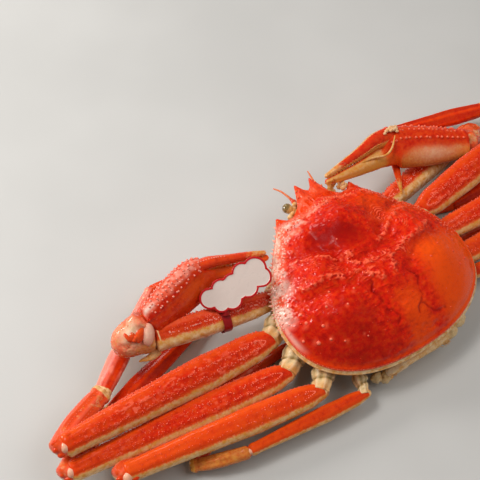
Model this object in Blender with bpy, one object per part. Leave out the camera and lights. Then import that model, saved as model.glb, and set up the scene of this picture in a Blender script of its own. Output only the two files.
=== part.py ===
# Snow crab, male, life size, legs folded along the body as it is laid out.
# Lengths are in millimetres here and are turned into metres when a mesh is made.
# +X is the crab's left, -Y is its front, +Z is up. The origin lies on the floor,
# on the flat of the belly flap.
import bpy
import bmesh
import math
from mathutils import Vector
from mathutils.bvhtree import BVHTree

MM = 0.001
GAP = 0.34                 # clearance between neighbouring pieces
MELT = 2.8                 # degrees; flatter edges than this are melted after a cut

# ------------------------------------------------------------------ sizes
HALF_WIDTH = 66.0          # carapace, half of its greatest width
WIDE_Y = 17.4              # where the carapace is widest
REAR_LENGTH = 47.0         # from there to the rear edge
FRONT_LENGTH = 67.4        # from there to the tooth beside the eye
REAR_POWER = 2.3           # squareness of the rear outline
TOOTH_X, TOOTH_Y, TOOTH_Z = 27.7, -50.5, 37.0
HORN_X, HORN_Y, HORN_Z = 5.6, -64.0, 41.0
DOME_Z = 54.0              # top of the back
RIM_Z0, RIM_SLOPE = 30.8, -0.1034   # height of the edge of the shell along Y
RIM_HALF = 0.9             # half the thickness of the shell's edge
SHELL_DROP = 3.2           # the shell's underside below its edge
CENTRE_Y = 6.0

FLAP_TOP = 4.6             # belly flap, from the floor up to here
STERNUM_Z = FLAP_TOP + GAP

EYE_R = 3.3

# A walking leg: lengths of merus, carpus, propodus and dactyl are set by the
# joints below; these are the widths (broad face) and thicknesses.
LEG_SIZE = {
    1: dict(merus=(21.0, 12.5), carpus=(13.5, 11.0), propodus=(12.5, 8.0), dactyl=(7.4, 5.6)),
    2: dict(merus=(18.5, 11.5), carpus=(13.0, 10.5), propodus=(13.0, 7.6), dactyl=(7.4, 5.2)),
    3: dict(merus=(17.0, 11.0), carpus=(12.5, 10.0), propodus=(12.5, 7.4), dactyl=(7.0, 4.6)),
    4: dict(merus=(10.0, 8.6), carpus=(8.2, 7.4), propodus=(7.6, 6.0), dactyl=(4.8, 3.8)),
}

# Joints, one row a leg: root at the body, start of the merus, elbow, end of the
# carpus, end of the propodus, tip.
LEGS = {
    ("L", 1): [(47, -3, 16), (72.5, 11.2, 23.1), (203, 8, 29), (171, -13, 18), (112.5, -64.5, 4.0), (66, -60, 2.0)],
    ("L", 2): [(46, 14, 15), (74, 33, 19), (206, 19, 19), (172, -3, 8), (102, -27, 2.4), (53, -38, 1.6)],
    ("L", 3): [(42, 30, 14), (63.5, 52, 17.2), (181, 35, 18.5), (152, 22, 6.4), (83, 15, 2.3), (37, 12, 1.4)],
    ("L", 4): [(33, 42, 13), (41, 65.7, 12), (115.5, 58.5, 11.5), (146, 47.5, 5.4), (117, 34, 1.8), (84, 31, 1.3)],
    ("R", 1): [(-47, -3, 16), (-62, -14.3, 23.1), (-190, -34, 31), (-158, -62, 18), (-87, -84, 12), (-60, -32, 22.6)],
    ("R", 2): [(-46, 14, 15), (-63, 4, 19), (-197, 9.8, 21.9), (-165, -14, 8), (-95, -15, 2.4), (-47, -30, 1.6)],
    ("R", 3): [(-42, 30, 14), (-62, 24, 17), (-182, 28.7, 18.9), (-152, 16, 6.4), (-82, 8, 2.3), (-34, 8, 1.4)],
    ("R", 4): [(-33, 40, 13), (-52, 34, 13), (-128, 45, 11.5), (-158, 40, 5.4), (-133, 27, 1.8), (-100, 24, 1.3)],
}
# Broad faces of the meri lean a little to the rear, the folded ends lie nearly flat.
MERUS_LEAN = {("L", 1): 20, ("L", 2): 10, ("L", 3): 5, ("L", 4): 10,
              ("R", 1): 20, ("R", 2): 10, ("R", 3): 6, ("R", 4): 10}

# The right first leg's end arches up over the claw leg beside it.
TIP_ARCH = {("R", 1): 4.6}

# Claw legs: root, start of merus, end of merus, carpus (middle), wrist, and the claw.
CLAW_LEGS = {
    "L": dict(root=(40, -21, 17), merus0=(57, -10, 23), merus1=(130, -20.5, 32),
              carpus=(146, -27.5, 33), wrist=(130.0, -27.6, 41.2),
              palm1=(90.4, -38.9, 42.2), hand_up=(0.26, -0.46, 0.82),
              finger=(71.4, -36.6, 40.8), tip=(47.7, -31.6, 37.5), merus_up=(0.0, 0.35, 1.0),
              carpus_end=(132.45, -30.2, 41.96), wrist_up=(0.12, 0.10, 1.0), arch=0.7, hinge=0.19, stout=0.68),
    "R": dict(root=(-40, -21, 15), merus0=(-50, -35, 13.5), merus1=(-120, -51.5, 10.5),
              carpus=(-136, -50, 14.5), wrist=(-121.5, -40.5, 25),
              palm1=(-71, -60, 34.5), hand_up=(-0.60, -0.70, 0.42),
              finger=(-42, -59.0, 41), tip=(-12.5, -54, 46.2), merus_up=(0.0, 0.0, 1.0),
              carpus_end=(-122.42, -40.15, 24.83), wrist_up=(-0.60, -0.70, 0.42), arch=1.5, hinge=0.27, stout=1.0),
}
PALM_HEIGHT, PALM_THICK = 29.0, 15.5
WRIST_HEIGHT = 20.0
CLAW_MERUS = (16.0, 13.5)


# ------------------------------------------------------------------ helpers
def v(p):
    return Vector(p)


def along(points, t):
    """A smooth curve through the points, t from 0 to 1 (Catmull-Rom)."""
    n = len(points) - 1
    s = min(max(t, 0.0), 1.0) * n
    i = min(int(s), n - 1)
    f = s - i
    p1, p2 = points[i], points[i + 1]
    p0 = points[i - 1] if i > 0 else p1 * 2 - p2
    p3 = points[i + 2] if i + 2 <= n else p2 * 2 - p1
    return 0.5 * ((2 * p1) + (p2 - p0) * f + (2 * p0 - 5 * p1 + 4 * p2 - p3) * f * f
                  + (3 * p1 - p0 - 3 * p2 + p3) * f ** 3)


def heading(points, t):
    a = along(points, max(t - 0.02, 0.0))
    b = along(points, min(t + 0.02, 1.0))
    return (b - a).normalized()


def table(rows, t):
    """Linear look-up in rows of (t, value, value ...)."""
    if t <= rows[0][0]:
        return rows[0][1:]
    for a, b in zip(rows, rows[1:]):
        if t <= b[0]:
            f = (t - a[0]) / (b[0] - a[0])
            return tuple(x + (y - x) * f for x, y in zip(a[1:], b[1:]))
    return rows[-1][1:]


def loft(rings, poles):
    """A closed skin over rings of equal size, with a fan to a pole at each end."""
    bm = bmesh.new()
    rows = [[bm.verts.new(p * MM) for p in ring] for ring in rings]
    n = len(rows[0])
    for a, b in zip(rows, rows[1:]):
        for k in range(n):
            j = (k + 1) % n
            bm.faces.new((a[k], a[j], b[j], b[k]))
    for row, pole, turn in ((rows[0], poles[0], True), (rows[-1], poles[1], False)):
        c = bm.verts.new(pole * MM)
        for k in range(n):
            j = (k + 1) % n
            bm.faces.new((row[j], row[k], c) if turn else (row[k], row[j], c))
    bmesh.ops.recalc_face_normals(bm, faces=bm.faces[:])
    bmesh.ops.triangulate(bm, faces=bm.faces[:])
    return bm


def limb(points, face, rows, sides=10, rings=6, power=2.3, cap0=2.0, cap1=2.0, grow=0.0):
    """A limb piece: an oval section swept along a curve. face is the direction that
    the broad side looks in; rows give t, width and thickness."""
    pts = [v(p) for p in points]
    face = v(face).normalized()
    out = []

    def section(centre, tangent, width, thick):
        wide = tangent.cross(face).normalized()
        up = wide.cross(tangent).normalized()
        ring = []
        for k in range(sides):
            a = 2 * math.pi * (k + 0.5) / sides
            c, s = math.cos(a), math.sin(a)
            x = math.copysign(abs(c) ** (2.0 / power), c) * (width / 2 + grow)
            y = math.copysign(abs(s) ** (2.0 / power), s) * (thick / 2 + grow)
            ring.append(centre + wide * x + up * y)
        return ring

    t0, t1 = heading(pts, 0.0), heading(pts, 1.0)
    w, h = table(rows, 0.0)
    start = pts[0]
    if cap0 > 0:
        out.append(section(start - t0 * (cap0 + grow) * 0.72, t0, w * 0.62, h * 0.62))
    for i in range(rings + 1):
        t = i / rings
        w, h = table(rows, t)
        out.append(section(along(pts, t), heading(pts, t), w, h))
    end = pts[-1]
    if cap1 > 0:
        out.append(section(end + t1 * (cap1 + grow) * 0.72, t1, w * 0.62, h * 0.62))
    return loft(out, (start - t0 * (max(cap0, 0) + grow), end + t1 * (max(cap1, 0) + grow)))


# ------------------------------------------------------------------ carapace
def rim_z(y):
    return RIM_Z0 + RIM_SLOPE * y


def half_outline(rear_steps, front_steps):
    """Left half of the shell's edge from the rear middle to the tooth beside the eye."""
    pts = []
    for i in range(rear_steps):
        a = 0.5 * math.pi * i / rear_steps
        x = HALF_WIDTH * math.sin(a) ** (2 / REAR_POWER)
        y = WIDE_Y + REAR_LENGTH * math.cos(a) ** (2 / REAR_POWER)
        pts.append(Vector((x, y, rim_z(y))))
    for i in range(front_steps + 1):
        t = 0.9 * i / front_steps
        y = WIDE_Y - FRONT_LENGTH * t
        x = TOOTH_X + (HALF_WIDTH - TOOTH_X) * (1 - t ** 1.9) ** 1.3
        pts.append(Vector((x, y, rim_z(y))))
    return pts


# The front from the tooth beside the eye over the eye socket to the horn and the
# cleft: x, y, z of the edge, and the x and y of the brow line behind it.
FRONT = [(TOOTH_X, TOOTH_Y, TOOTH_Z, 29.5, -43.6),
         (TOOTH_X - 4.6, TOOTH_Y + 4.8, TOOTH_Z, 23.5, -43.6),
         (18.0, -45.2, 37.6, 18.0, -43.6),
         (12.0, -49.5, 39.0, 12.2, -44.4),
         (HORN_X + 3.0, HORN_Y + 7.0, 40.6, 8.0, -46.0),
         (HORN_X, HORN_Y, HORN_Z, 5.0, -47.2),
         (2.4, HORN_Y + 6.5, 41.0, 2.5, -48.0)]
CLEFT = (0.0, HORN_Y + 8.5, 41.2, 0.0, -48.4)

# Swellings and hollows of the back: x, y, spread in x, spread in y, height.
SWELLINGS = [(0, -24, 14, 12, 4.0), (0, 23, 11, 9, 3.2), (0, 50, 12, 7, 1.5),
             (37, 1, 12, 10, 3.4), (36, 31, 14, 12, 2.6), (33, -29, 8, 7, 1.4),
             (18, 2, 6, 9, -2.6), (20, -18, 6, 8, -2.4), (15, 39, 6, 9, -1.2)]


def back_z(x, y, edge_z, rho):
    shape = (1 - min(rho, 1.0) ** 2.6) ** 0.8
    z = edge_z + (DOME_Z - edge_z) * shape
    fade = min(1.0, 3.0 * (1 - rho))
    for cx, cy, sx, sy, h in SWELLINGS:
        for side in ((1,) if cx == 0 else (1, -1)):
            z += fade * h * math.exp(-((x - side * cx) / sx) ** 2 - ((y - cy) / sy) ** 2)
    return z


def carapace(grow=0.0, rear_steps=8, front_steps=6):
    side = half_outline(rear_steps, front_steps)
    edge = side + [Vector(f[:3]) for f in FRONT]
    brow = side + [Vector((f[3], f[4], f[2])) for f in FRONT]
    edge = edge + [Vector(CLEFT[:3])] + [Vector((-p.x, p.y, p.z)) for p in edge[1:]][::-1]
    brow = brow + [Vector((0, CLEFT[4], CLEFT[2]))] + [Vector((-p.x, p.y, p.z)) for p in brow[1:]][::-1]
    c = Vector((0, CENTRE_Y, 0))

    def ring(line, rho, z_of, out=1.0):
        pts = []
        for e in line:
            d = Vector((e.x, e.y, 0)) - c
            q = c + d * rho + d.normalized() * grow * out
            pts.append(Vector((q.x, q.y, z_of(q, e, rho))))
        return pts

    def top(q, e, rho):
        return back_z(q.x, q.y, e.z + RIM_HALF, rho) + grow

    rings = [ring(brow, r, top, 0.0) for r in (0.16, 0.34, 0.52, 0.68, 0.81, 0.91)]
    rings.append(ring(brow, 0.97, top))
    rings.append(ring(edge, 1.0, lambda q, e, r: e.z + RIM_HALF + grow))
    rings.append(ring(edge, 1.0, lambda q, e, r: e.z - RIM_HALF - grow))
    rings.append(ring(brow, 0.91, lambda q, e, r: rim_z(q.y) - SHELL_DROP - grow))
    return loft(rings, (Vector((0, CENTRE_Y, back_z(0, CENTRE_Y, 30, 0) + grow)),
                        Vector((0, CENTRE_Y, rim_z(CENTRE_Y) - SHELL_DROP - grow))))


# ------------------------------------------------------------------ body under the shell
# Height, half width, front and rear ends of the lower body, from the sternum up.
BODY_LEVELS = [(STERNUM_Z, 28, -27, 40), (STERNUM_Z + 1.2, 34, -30, 45), (11, 43, -34, 51),
               (17, 53, -38, 58.8), (22, 59.2, -40.4, 61.4)]


def thorax(grow=0.0, sides=26):
    """Lower body: side walls that close in from the shell's edge to the sternum."""
    rings = []

    def oval(level, half, front, rear, tilt):
        pts = []
        mid, reach = (front + rear) / 2, (rear - front) / 2 + grow
        for k in range(sides):
            a = 2 * math.pi * k / sides
            c, s = math.cos(a), math.sin(a)
            x = math.copysign(abs(c) ** (2 / 2.4), c) * (half + grow)
            y = mid + math.copysign(abs(s) ** (2 / 2.4), s) * reach
            # narrower towards the front, like the shell above
            x *= 1.0 - 0.30 * max(0.0, (mid - y) / reach) ** 1.6
            pts.append(Vector((x, y, level + (tilt * (y - 0.0)))))
        return pts

    for i, (z, half, front, rear) in enumerate(BODY_LEVELS):
        tilt = RIM_SLOPE * max(0.0, (z - STERNUM_Z - 1.2) / (22 - STERNUM_Z))
        rings.append(oval(z - (grow if i == 0 else 0), half, front, rear, tilt))
    z_top = RIM_Z0 - SHELL_DROP - GAP + grow
    rings.append(oval(z_top, 61.2, -41.4, 62.2, RIM_SLOPE))
    return loft(rings, (Vector((0, 8, STERNUM_Z - grow)),
                        Vector((0, 8, z_top + RIM_SLOPE * 8))))


FLAP_JOINTS = [(-21.5, 3.6), (-14, 6.2), (-4.5, 8.0), (6, 10.4), (17.5, 13.4), (30, 17.0), (45, 20.5)]


def abdomen():
    """Belly flap of a male: a narrow triangle in joints, folded forward under the body,
    with its first joints rising behind the body."""
    rings = []

    def bar(w, low, high):
        (y0, z0), (y1, z1) = low, high
        ym, zm = (y0 + y1) / 2, (z0 + z1) / 2
        return [Vector((-w, y0, z0)), Vector((w, y0, z0)), Vector((w + 0.8, ym, zm)),
                Vector((w - 1.2, y1, z1)), Vector((-w + 1.2, y1, z1)), Vector((-w - 0.8, ym, zm))]

    first = FLAP_JOINTS[0]
    rings.append(bar(first[1], (first[0], 0.0), (first[0], FLAP_TOP)))
    for (ya, wa), (yb, wb) in zip(FLAP_JOINTS, FLAP_JOINTS[1:]):
        ym, wm = (ya + yb) / 2, (wa + wb) / 2 + 0.7
        rings.append(bar(wm, (ym, 0.0), (ym, FLAP_TOP)))
        if yb != FLAP_JOINTS[-1][0]:
            rings.append(bar(wb - 0.4, (yb - 0.5, 0.0), (yb - 0.5, FLAP_TOP)))
            rings.append(bar(wb - 0.5, (yb, 0.55), (yb, FLAP_TOP)))
            rings.append(bar(wb - 0.1, (yb + 0.5, 0.0), (yb + 0.5, FLAP_TOP)))
    # round the rear of the sternum and up behind the body
    for w, low, high in ((20.8, (50.5, 0.6), (48.0, 5.4)), (20.6, (55.0, 2.2), (51.4, 6.8)),
                         (21.6, (60.5, 6.6), (55.8, 10.6)), (21.0, (62.6, 9.4), (57.8, 12.6)),
                         (22.4, (65.4, 14.6), (60.6, 16.2)), (22.0, (66.0, 18.2), (61.6, 19.0))):
        rings.append(bar(w, low, high))
    a, z = rings[0], rings[-1]
    return loft(rings, (sum(a, Vector()) / 6 + Vector((0, -2.4, 0)),
                        sum(z, Vector()) / 6 + Vector((0, 0.4, 1.4))))


# ------------------------------------------------------------------ pieces of the limbs
def leg_pieces(side, k):
    root, m0, elbow, c1, p1, tip = LEGS[(side, k)]
    size = LEG_SIZE[k]
    mw, mh = size["merus"]
    cw, ch = size["carpus"]
    pw, ph = size["propodus"]
    dw, dh = size["dactyl"]
    lean = math.radians(MERUS_LEAN[(side, k)])
    face = (0.0, math.sin(lean), math.cos(lean))
    flat = (0.0, 0.08, 1.0)
    el, c1v = v(elbow), v(c1)
    bend = (c1v - el).normalized()
    out_dir = (el - v(m0)).normalized()
    pieces = {}
    pieces["base"] = dict(points=[root, tuple((v(root) * 0.45 + v(m0) * 0.55)), m0], face=face,
                          rows=[(0, mw * 0.78, mh * 1.3), (0.6, mw * 0.72, mh * 1.12), (1, mw * 0.6, mh * 0.92)],
                          rings=2, sides=8, cap0=0, cap1=0)
    merus_end = el - out_dir * 2.0
    pieces["merus"] = dict(points=[m0, tuple((v(m0) + merus_end) / 2), tuple(merus_end)], face=face,
                           rows=[(0, mw * 0.62, mh * 0.78), (0.08, mw * 0.84, mh * 0.92),
                                 (0.34, mw, mh), (0.75, mw * 0.8, mh * 0.92), (1, mw * 0.66, mh * 0.86)],
                           rings=4, sides=10, cap0=4.5, cap1=2.6)
    start = el + out_dir * 2.2
    pieces["carpus"] = dict(points=[tuple(start), tuple(start * 0.5 + c1v * 0.5 + out_dir * 2.6), c1],
                            face=face if k < 4 else flat,
                            rows=[(0, cw * 0.95, ch * 0.95), (0.45, cw, ch), (1, cw * 0.86, ch * 0.84)],
                            rings=3, sides=8, cap0=3.0, cap1=1.6)
    pd = (v(p1) - c1v).normalized()
    pieces["propodus"] = dict(points=[tuple(c1v + pd * 0.5), tuple((c1v + v(p1)) / 2), p1], face=flat,
                              rows=[(0, pw * 0.80, ph * 0.95), (0.3, pw, ph), (1, pw * 0.62, ph * 0.74)],
                              rings=3, sides=8, cap0=1.6, cap1=1.4)
    dd = (v(tip) - v(p1)).normalized()
    mid = (v(p1) + v(tip)) / 2 + Vector((0, 0, TIP_ARCH.get((side, k), 0.8)))
    pieces["dactyl"] = dict(points=[tuple(v(p1) + dd * 0.5), tuple(mid), tip], face=flat,
                            rows=[(0, dw * 0.92, dh * 0.95), (0.3, dw, dh), (0.8, dw * 0.5, dh * 0.55),
                                  (1, dw * 0.16, dh * 0.2)],
                            rings=3, sides=6, cap0=1.2, cap1=0.8)
    return pieces


def claw_pieces(side):
    c = CLAW_LEGS[side]
    up = v(c["hand_up"]).normalized()
    root, m0, m1 = v(c["root"]), v(c["merus0"]), v(c["merus1"])
    wrist, palm1 = v(c["wrist"]), v(c["palm1"])
    axis = (palm1 - wrist).normalized()
    up = (up - axis * up.dot(axis)).normalized()
    side_dir = axis.cross(up).normalized()
    mw, mh = CLAW_MERUS
    mup = c["merus_up"]
    pieces = {}
    pieces["base"] = dict(points=[tuple(root), tuple((root + m0) / 2), tuple(m0)], face=mup,
                          rows=[(0, 15, 14), (1, 12.5, 11.5)], rings=2, sides=8, cap0=0, cap1=0)
    pieces["merus"] = dict(points=[tuple(m0), tuple((m0 + m1) / 2 + Vector((0, 0.8, 0.6))), tuple(m1)], face=mup,
                           rows=[(0, mw * 0.72, mh * 0.8), (0.2, mw * 0.92, mh * 0.94), (0.75, mw, mh),
                                 (1, mw * 0.96, mh * 0.98)],
                           rings=4, sides=12, power=2.8, cap0=3.0, cap1=1.5)
    mc = v(c["carpus"])
    md = (m1 - m0).normalized()
    pieces["carpus"] = dict(points=[tuple(m1 + md * 2.0), tuple(mc), c["carpus_end"]], face=c["wrist_up"],
                            rows=[(0, 13, 14), (0.5, 16.5, 17.5), (1, 13.5, 16.0)],
                            rings=4, sides=10, cap0=1.5, cap1=1.2)
    # palm with the fixed finger: height is along up, so the broad face looks sideways
    low = palm1 - up * (PALM_HEIGHT * 0.23)
    finger, tip = v(c["finger"]), v(c["tip"])
    fixed_mid = finger - up * 5.6
    fixed_tip = tip - up * 1.6
    pieces["propodus"] = dict(points=[tuple(wrist + axis * 1.0), tuple((wrist + palm1) / 2 - up * 0.5),
                                      tuple(palm1 - up * 1.0 - axis * 4.0),
                                      tuple(low + axis * 8 + up * 0.5), tuple(fixed_mid), tuple(fixed_tip)],
                              face=tuple(side_dir),
                              rows=[(0, WRIST_HEIGHT, 11.5), (0.2, PALM_HEIGHT * 0.93, PALM_THICK),
                                    (0.4, PALM_HEIGHT, PALM_THICK * 0.95), (0.6, PALM_HEIGHT * 0.52, 10.5),
                                    (0.8, 9.0, 7.6), (0.95, 5.6, 4.6), (1, 3.0, 2.6)],
                              rings=11, sides=12, power=2.2, cap0=1.6, cap1=1.2)
    hinge = palm1 + up * (PALM_HEIGHT * c["hinge"]) + axis * 1.5
    top_mid = finger + up * 3.9
    top_tip = tip + up * 2.4
    root_high = PALM_HEIGHT * 0.40 * c["stout"]
    pieces["dactyl"] = dict(points=[tuple(hinge), tuple((hinge + top_mid) / 2 + up * c["arch"]), tuple(top_mid),
                                    tuple(top_tip)],
                            face=tuple(side_dir),
                            rows=[(0, root_high, 10.5), (0.25, root_high, 10.0),
                                  (0.6, 4.2 + 4.2 * c["stout"], 7.4), (0.9, 5.0, 4.4), (1, 2.8, 2.4)],
                            rings=6, sides=10, power=2.2, cap0=2.0, cap1=1.2)
    return pieces


# ------------------------------------------------------------------ small parts
def ball(centre, radius, flat=1.0):
    bm = bmesh.new()
    bmesh.ops.create_uvsphere(bm, u_segments=10, v_segments=7, radius=radius * MM)
    for p in bm.verts:
        p.co.y *= flat
        p.co += v(centre) * MM
    bmesh.ops.triangulate(bm, faces=bm.faces[:])
    return bm


EYES = {"L": (16.8, -54.4, 36.0), "R": (-18.6, -56.2, 38.2)}   # the stalks turn a little


def eye_spec(side):
    s = 1 if side == "L" else -1
    e = v(EYES[side])
    root = v((s * 11.0, -46.8, 33.6))
    axis = (e - root).normalized()
    return dict(points=[tuple(root), tuple(root * 0.45 + e * 0.55 + Vector((0, -0.6, 0))), tuple(e - axis * 0.6)],
                face=(0, 0.3, 1), rows=[(0, 4.6, 4.2), (0.55, 3.8, 3.6), (0.8, 5.6, 5.6), (1, 6.6, 6.6)],
                rings=4, sides=8, power=2.0, cap0=0, cap1=3.4)


def feeler_spec(side):
    s = 1 if side == "L" else -1
    return dict(points=[(s * 7.5, -50.0, 33.0), (s * 9.0, -56.0, 33.4), (s * 10.2, -62.0, 33.8),
                        (s * 11.6, -69.0, 33.0), (s * 13.5, -75.0, 30.5)],
                face=(0, 0, 1), rows=[(0, 4.6, 3.4), (0.3, 3.6, 2.8), (0.42, 1.8, 1.6), (1, 0.8, 0.8)],
                rings=6, sides=5, power=2.0, cap0=0, cap1=0.5)


def mouthparts():
    """The pair of outer jaw legs that close the mouth field, as one shield."""
    rings = []
    for y, z, w, t in ((-36.0, 9.5, 12.0, 3.0), (-40.5, 13.0, 14.0, 4.4), (-43.6, 19.0, 14.5, 5.0),
                       (-45.8, 25.5, 13.0, 4.6), (-47.0, 30.4, 10.0, 3.0)):
        ring = []
        for k in range(14):
            a = 2 * math.pi * (k + 0.5) / 14
            x = math.cos(a) * w
            d = math.sin(a) * t
            # a shallow groove down the middle
            d -= 1.1 * math.exp(-(x / 1.8) ** 2) if math.sin(a) > 0 else 0.0
            ring.append(Vector((x, y - d, z - d * 0.35)))
        rings.append(ring)
    return loft(rings, (Vector((0, -36.0, 8.3)), Vector((0, -47.0, 31.6))))


# Name tag tied to the left claw leg: a plate with scalloped ends on a strap.
TAG_CENTRE = (75.4, -19.7, 46.0)
TAG_WIDTH, TAG_HEIGHT, TAG_THICK = 36.0, 17.0, 1.2    # the oval between the lobes
TAG_MID = (-1.0, -0.8)
TAG_LOBES = [(-16.6, 2.2, 6.4), (-8.2, 3.8, 5.9), (-0.6, 3.4, 5.6), (7.2, 5.2, 6.2), (14.6, 3.2, 7.2),
             (15.4, -2.8, 6.2), (5.5, -3.8, 6.4), (-6.0, -4.9, 6.4), (-12.6, -4.0, 5.2)]
TAG_ALONG = (-0.958, 0.063, 0.280)    # long direction
TAG_FACE = (0.278, 0.450, 0.849)      # front face
TAG_STRAP_T = 0.44                    # where along the merus the strap sits
TONGUE_AT = (-13.0, -6.0)             # where the strap's tongue meets the plate's back


def tag_outline(steps=44):
    """Cloud-like plate: the outline of an oval and the round lobes set along it."""
    pts = []
    for i in range(steps):
        turn = 2 * math.pi * i / steps
        ux, uy = math.cos(turn), math.sin(turn)
        reach = 1.0 / math.hypot(ux / (TAG_WIDTH / 2), uy / (TAG_HEIGHT / 2))
        for x, y, r in TAG_LOBES:
            along_ray = ux * x + uy * y
            inside = r * r - x * x - y * y + along_ray * along_ray
            if inside > 0:
                reach = max(reach, along_ray + math.sqrt(inside))
        pts.append((ux * reach + TAG_MID[0], uy * reach + TAG_MID[1]))
    return pts


def tag_axes():
    face = v(TAG_FACE).normalized()
    a = v(TAG_ALONG)
    a = (a - face * a.dot(face)).normalized()
    return a, face.cross(a).normalized(), face


def tag_plate():
    a, b, face = tag_axes()
    c = v(TAG_CENTRE)
    rings = []
    for d in (-TAG_THICK / 2, TAG_THICK / 2):
        rings.append([c + a * x + b * y + face * d for x, y in tag_outline()])
    return loft(rings, (c - face * TAG_THICK / 2, c + face * TAG_THICK / 2))


def strap():
    """A flat band round the merus, with a tongue up to the plate."""
    spec = claw_pieces("L")["merus"]
    pts = [v(p) for p in spec["points"]]
    t = TAG_STRAP_T
    centre, axis = along(pts, t), heading(pts, t)
    w, h = table(spec["rows"], t)
    face = v(spec["face"]).normalized()
    wide = axis.cross(face).normalized()
    up = wide.cross(axis).normalized()
    half, thick, steps, power = 2.6, 0.9, 24, 2.8
    bm = bmesh.new()
    loops = []
    for off, r in ((-half, 0), (half, 0), (half, thick), (-half, thick)):
        row = []
        for k in range(steps):
            a = 2 * math.pi * k / steps
            c, s = math.cos(a), math.sin(a)
            x = math.copysign(abs(c) ** (2 / power), c) * (w / 2 + GAP + 0.25 + r)
            y = math.copysign(abs(s) ** (2 / power), s) * (h / 2 + GAP + 0.25 + r)
            row.append(bm.verts.new((centre + axis * off + wide * x + up * y) * MM))
        loops.append(row)
    for i in range(4):
        p, q = loops[i], loops[(i + 1) % 4]
        for k in range(steps):
            j = (k + 1) % steps
            bm.faces.new((p[k], p[j], q[j], q[k]))
    # the tongue rises from the top of the band to just behind the plate
    a, b, front = tag_axes()
    back = v(TAG_CENTRE) - front * (TAG_THICK / 2 + GAP)
    top = centre + up * (h / 2 + GAP + 0.25 + thick)
    end = back + a * TONGUE_AT[0] + b * TONGUE_AT[1]
    faces = [f for f in bm.faces if all(q in loops[2] + loops[3] for q in f.verts)
             and (f.calc_center_median() / MM - centre).dot(up) > h / 2 + thick]
    out = bmesh.ops.extrude_face_region(bm, geom=faces)
    bmesh.ops.delete(bm, geom=faces, context="FACES")
    for q in out["geom"]:
        if isinstance(q, bmesh.types.BMVert):
            p = q.co / MM - top
            q.co = (end + a * p.dot(a) * 0.8 + b * p.dot(b) * 0.6) * MM
    bmesh.ops.recalc_face_normals(bm, faces=bm.faces[:])
    bmesh.ops.triangulate(bm, faces=bm.faces[:])
    return bm


# ------------------------------------------------------------------ objects
RED = (0.62, 0.05, 0.02)
ORANGE = (0.75, 0.16, 0.04)
CREAM = (0.80, 0.55, 0.30)
PALE = (0.86, 0.76, 0.62)
OLIVE = (0.30, 0.24, 0.12)
TAG_WHITE = (0.85, 0.74, 0.66)
TAG_RED = (0.60, 0.03, 0.04)


def material(name, colour, roughness):
    m = bpy.data.materials.new(name)
    m.use_nodes = True
    b = m.node_tree.nodes["Principled BSDF"]
    b.inputs["Base Color"].default_value = (*colour, 1)
    b.inputs["Roughness"].default_value = roughness
    b.inputs["Metallic"].default_value = 0.0
    m.diffuse_color = (*colour, 1)
    return m


def add(name, bm, colour, roughness, where):
    mesh = bpy.data.meshes.new(name)
    bm.to_mesh(mesh)
    bm.free()
    ob = bpy.data.objects.new(name, mesh)
    where.objects.link(ob)
    mesh.materials.append(material(name, colour, roughness))
    return ob


def largest_only(bm):
    """Drop the crumbs that a cut may leave beside the piece."""
    seen, groups = set(), []
    for start in bm.verts:
        if start in seen:
            continue
        stack, group = [start], []
        seen.add(start)
        while stack:
            q = stack.pop()
            group.append(q)
            for e in q.link_edges:
                o = e.other_vert(q)
                if o not in seen:
                    seen.add(o)
                    stack.append(o)
        groups.append(group)
    groups.sort(key=len, reverse=True)
    extra = [q for g in groups[1:] for q in g]
    if extra:
        bmesh.ops.delete(bm, geom=extra, context="VERTS")


def floor_flats(bm):
    """Where a piece reaches the floor, it stands on a small flat."""
    if min(q.co.z for q in bm.verts) < -0.00002:
        geom = bm.verts[:] + bm.edges[:] + bm.faces[:]
        out = bmesh.ops.bisect_plane(bm, geom=geom, dist=1e-7, plane_co=(0, 0, 0), plane_no=(0, 0, 1),
                                     clear_inner=True)
        rim = [e for e in out["geom_cut"] if isinstance(e, bmesh.types.BMEdge)]
        bmesh.ops.edgenet_fill(bm, edges=rim)
        bmesh.ops.triangulate(bm, faces=bm.faces[:])
        bmesh.ops.recalc_face_normals(bm, faces=bm.faces[:])


def closed(bm):
    return all(len(e.link_faces) == 2 for e in bm.edges) and bm.calc_volume(signed=True) > 0


def tidy(mesh, melt=0.0):
    """Join near-equal points and melt flat edges, as far as the skin stays closed."""
    for near, flat in ((0.00005, melt), (0.00005, melt / 3), (0.00002, 0.0), (0.000002, 0.0)):
        bm = bmesh.new()
        bm.from_mesh(mesh)
        bmesh.ops.remove_doubles(bm, verts=bm.verts[:], dist=near)
        bmesh.ops.dissolve_degenerate(bm, edges=bm.edges[:], dist=near)
        if flat:
            bmesh.ops.dissolve_limit(bm, angle_limit=math.radians(flat), verts=bm.verts[:], edges=bm.edges[:])
        bmesh.ops.triangulate(bm, faces=bm.faces[:])
        largest_only(bm)
        bmesh.ops.recalc_face_normals(bm, faces=bm.faces[:])
        if closed(bm):
            break
    return bm


def meets(target, cutter):
    a = bmesh.new()
    a.from_mesh(target.data)
    b = bmesh.new()
    b.from_mesh(cutter.data)
    hit = bool(BVHTree.FromBMesh(a).overlap(BVHTree.FromBMesh(b)))
    a.free()
    b.free()
    return hit


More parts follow.
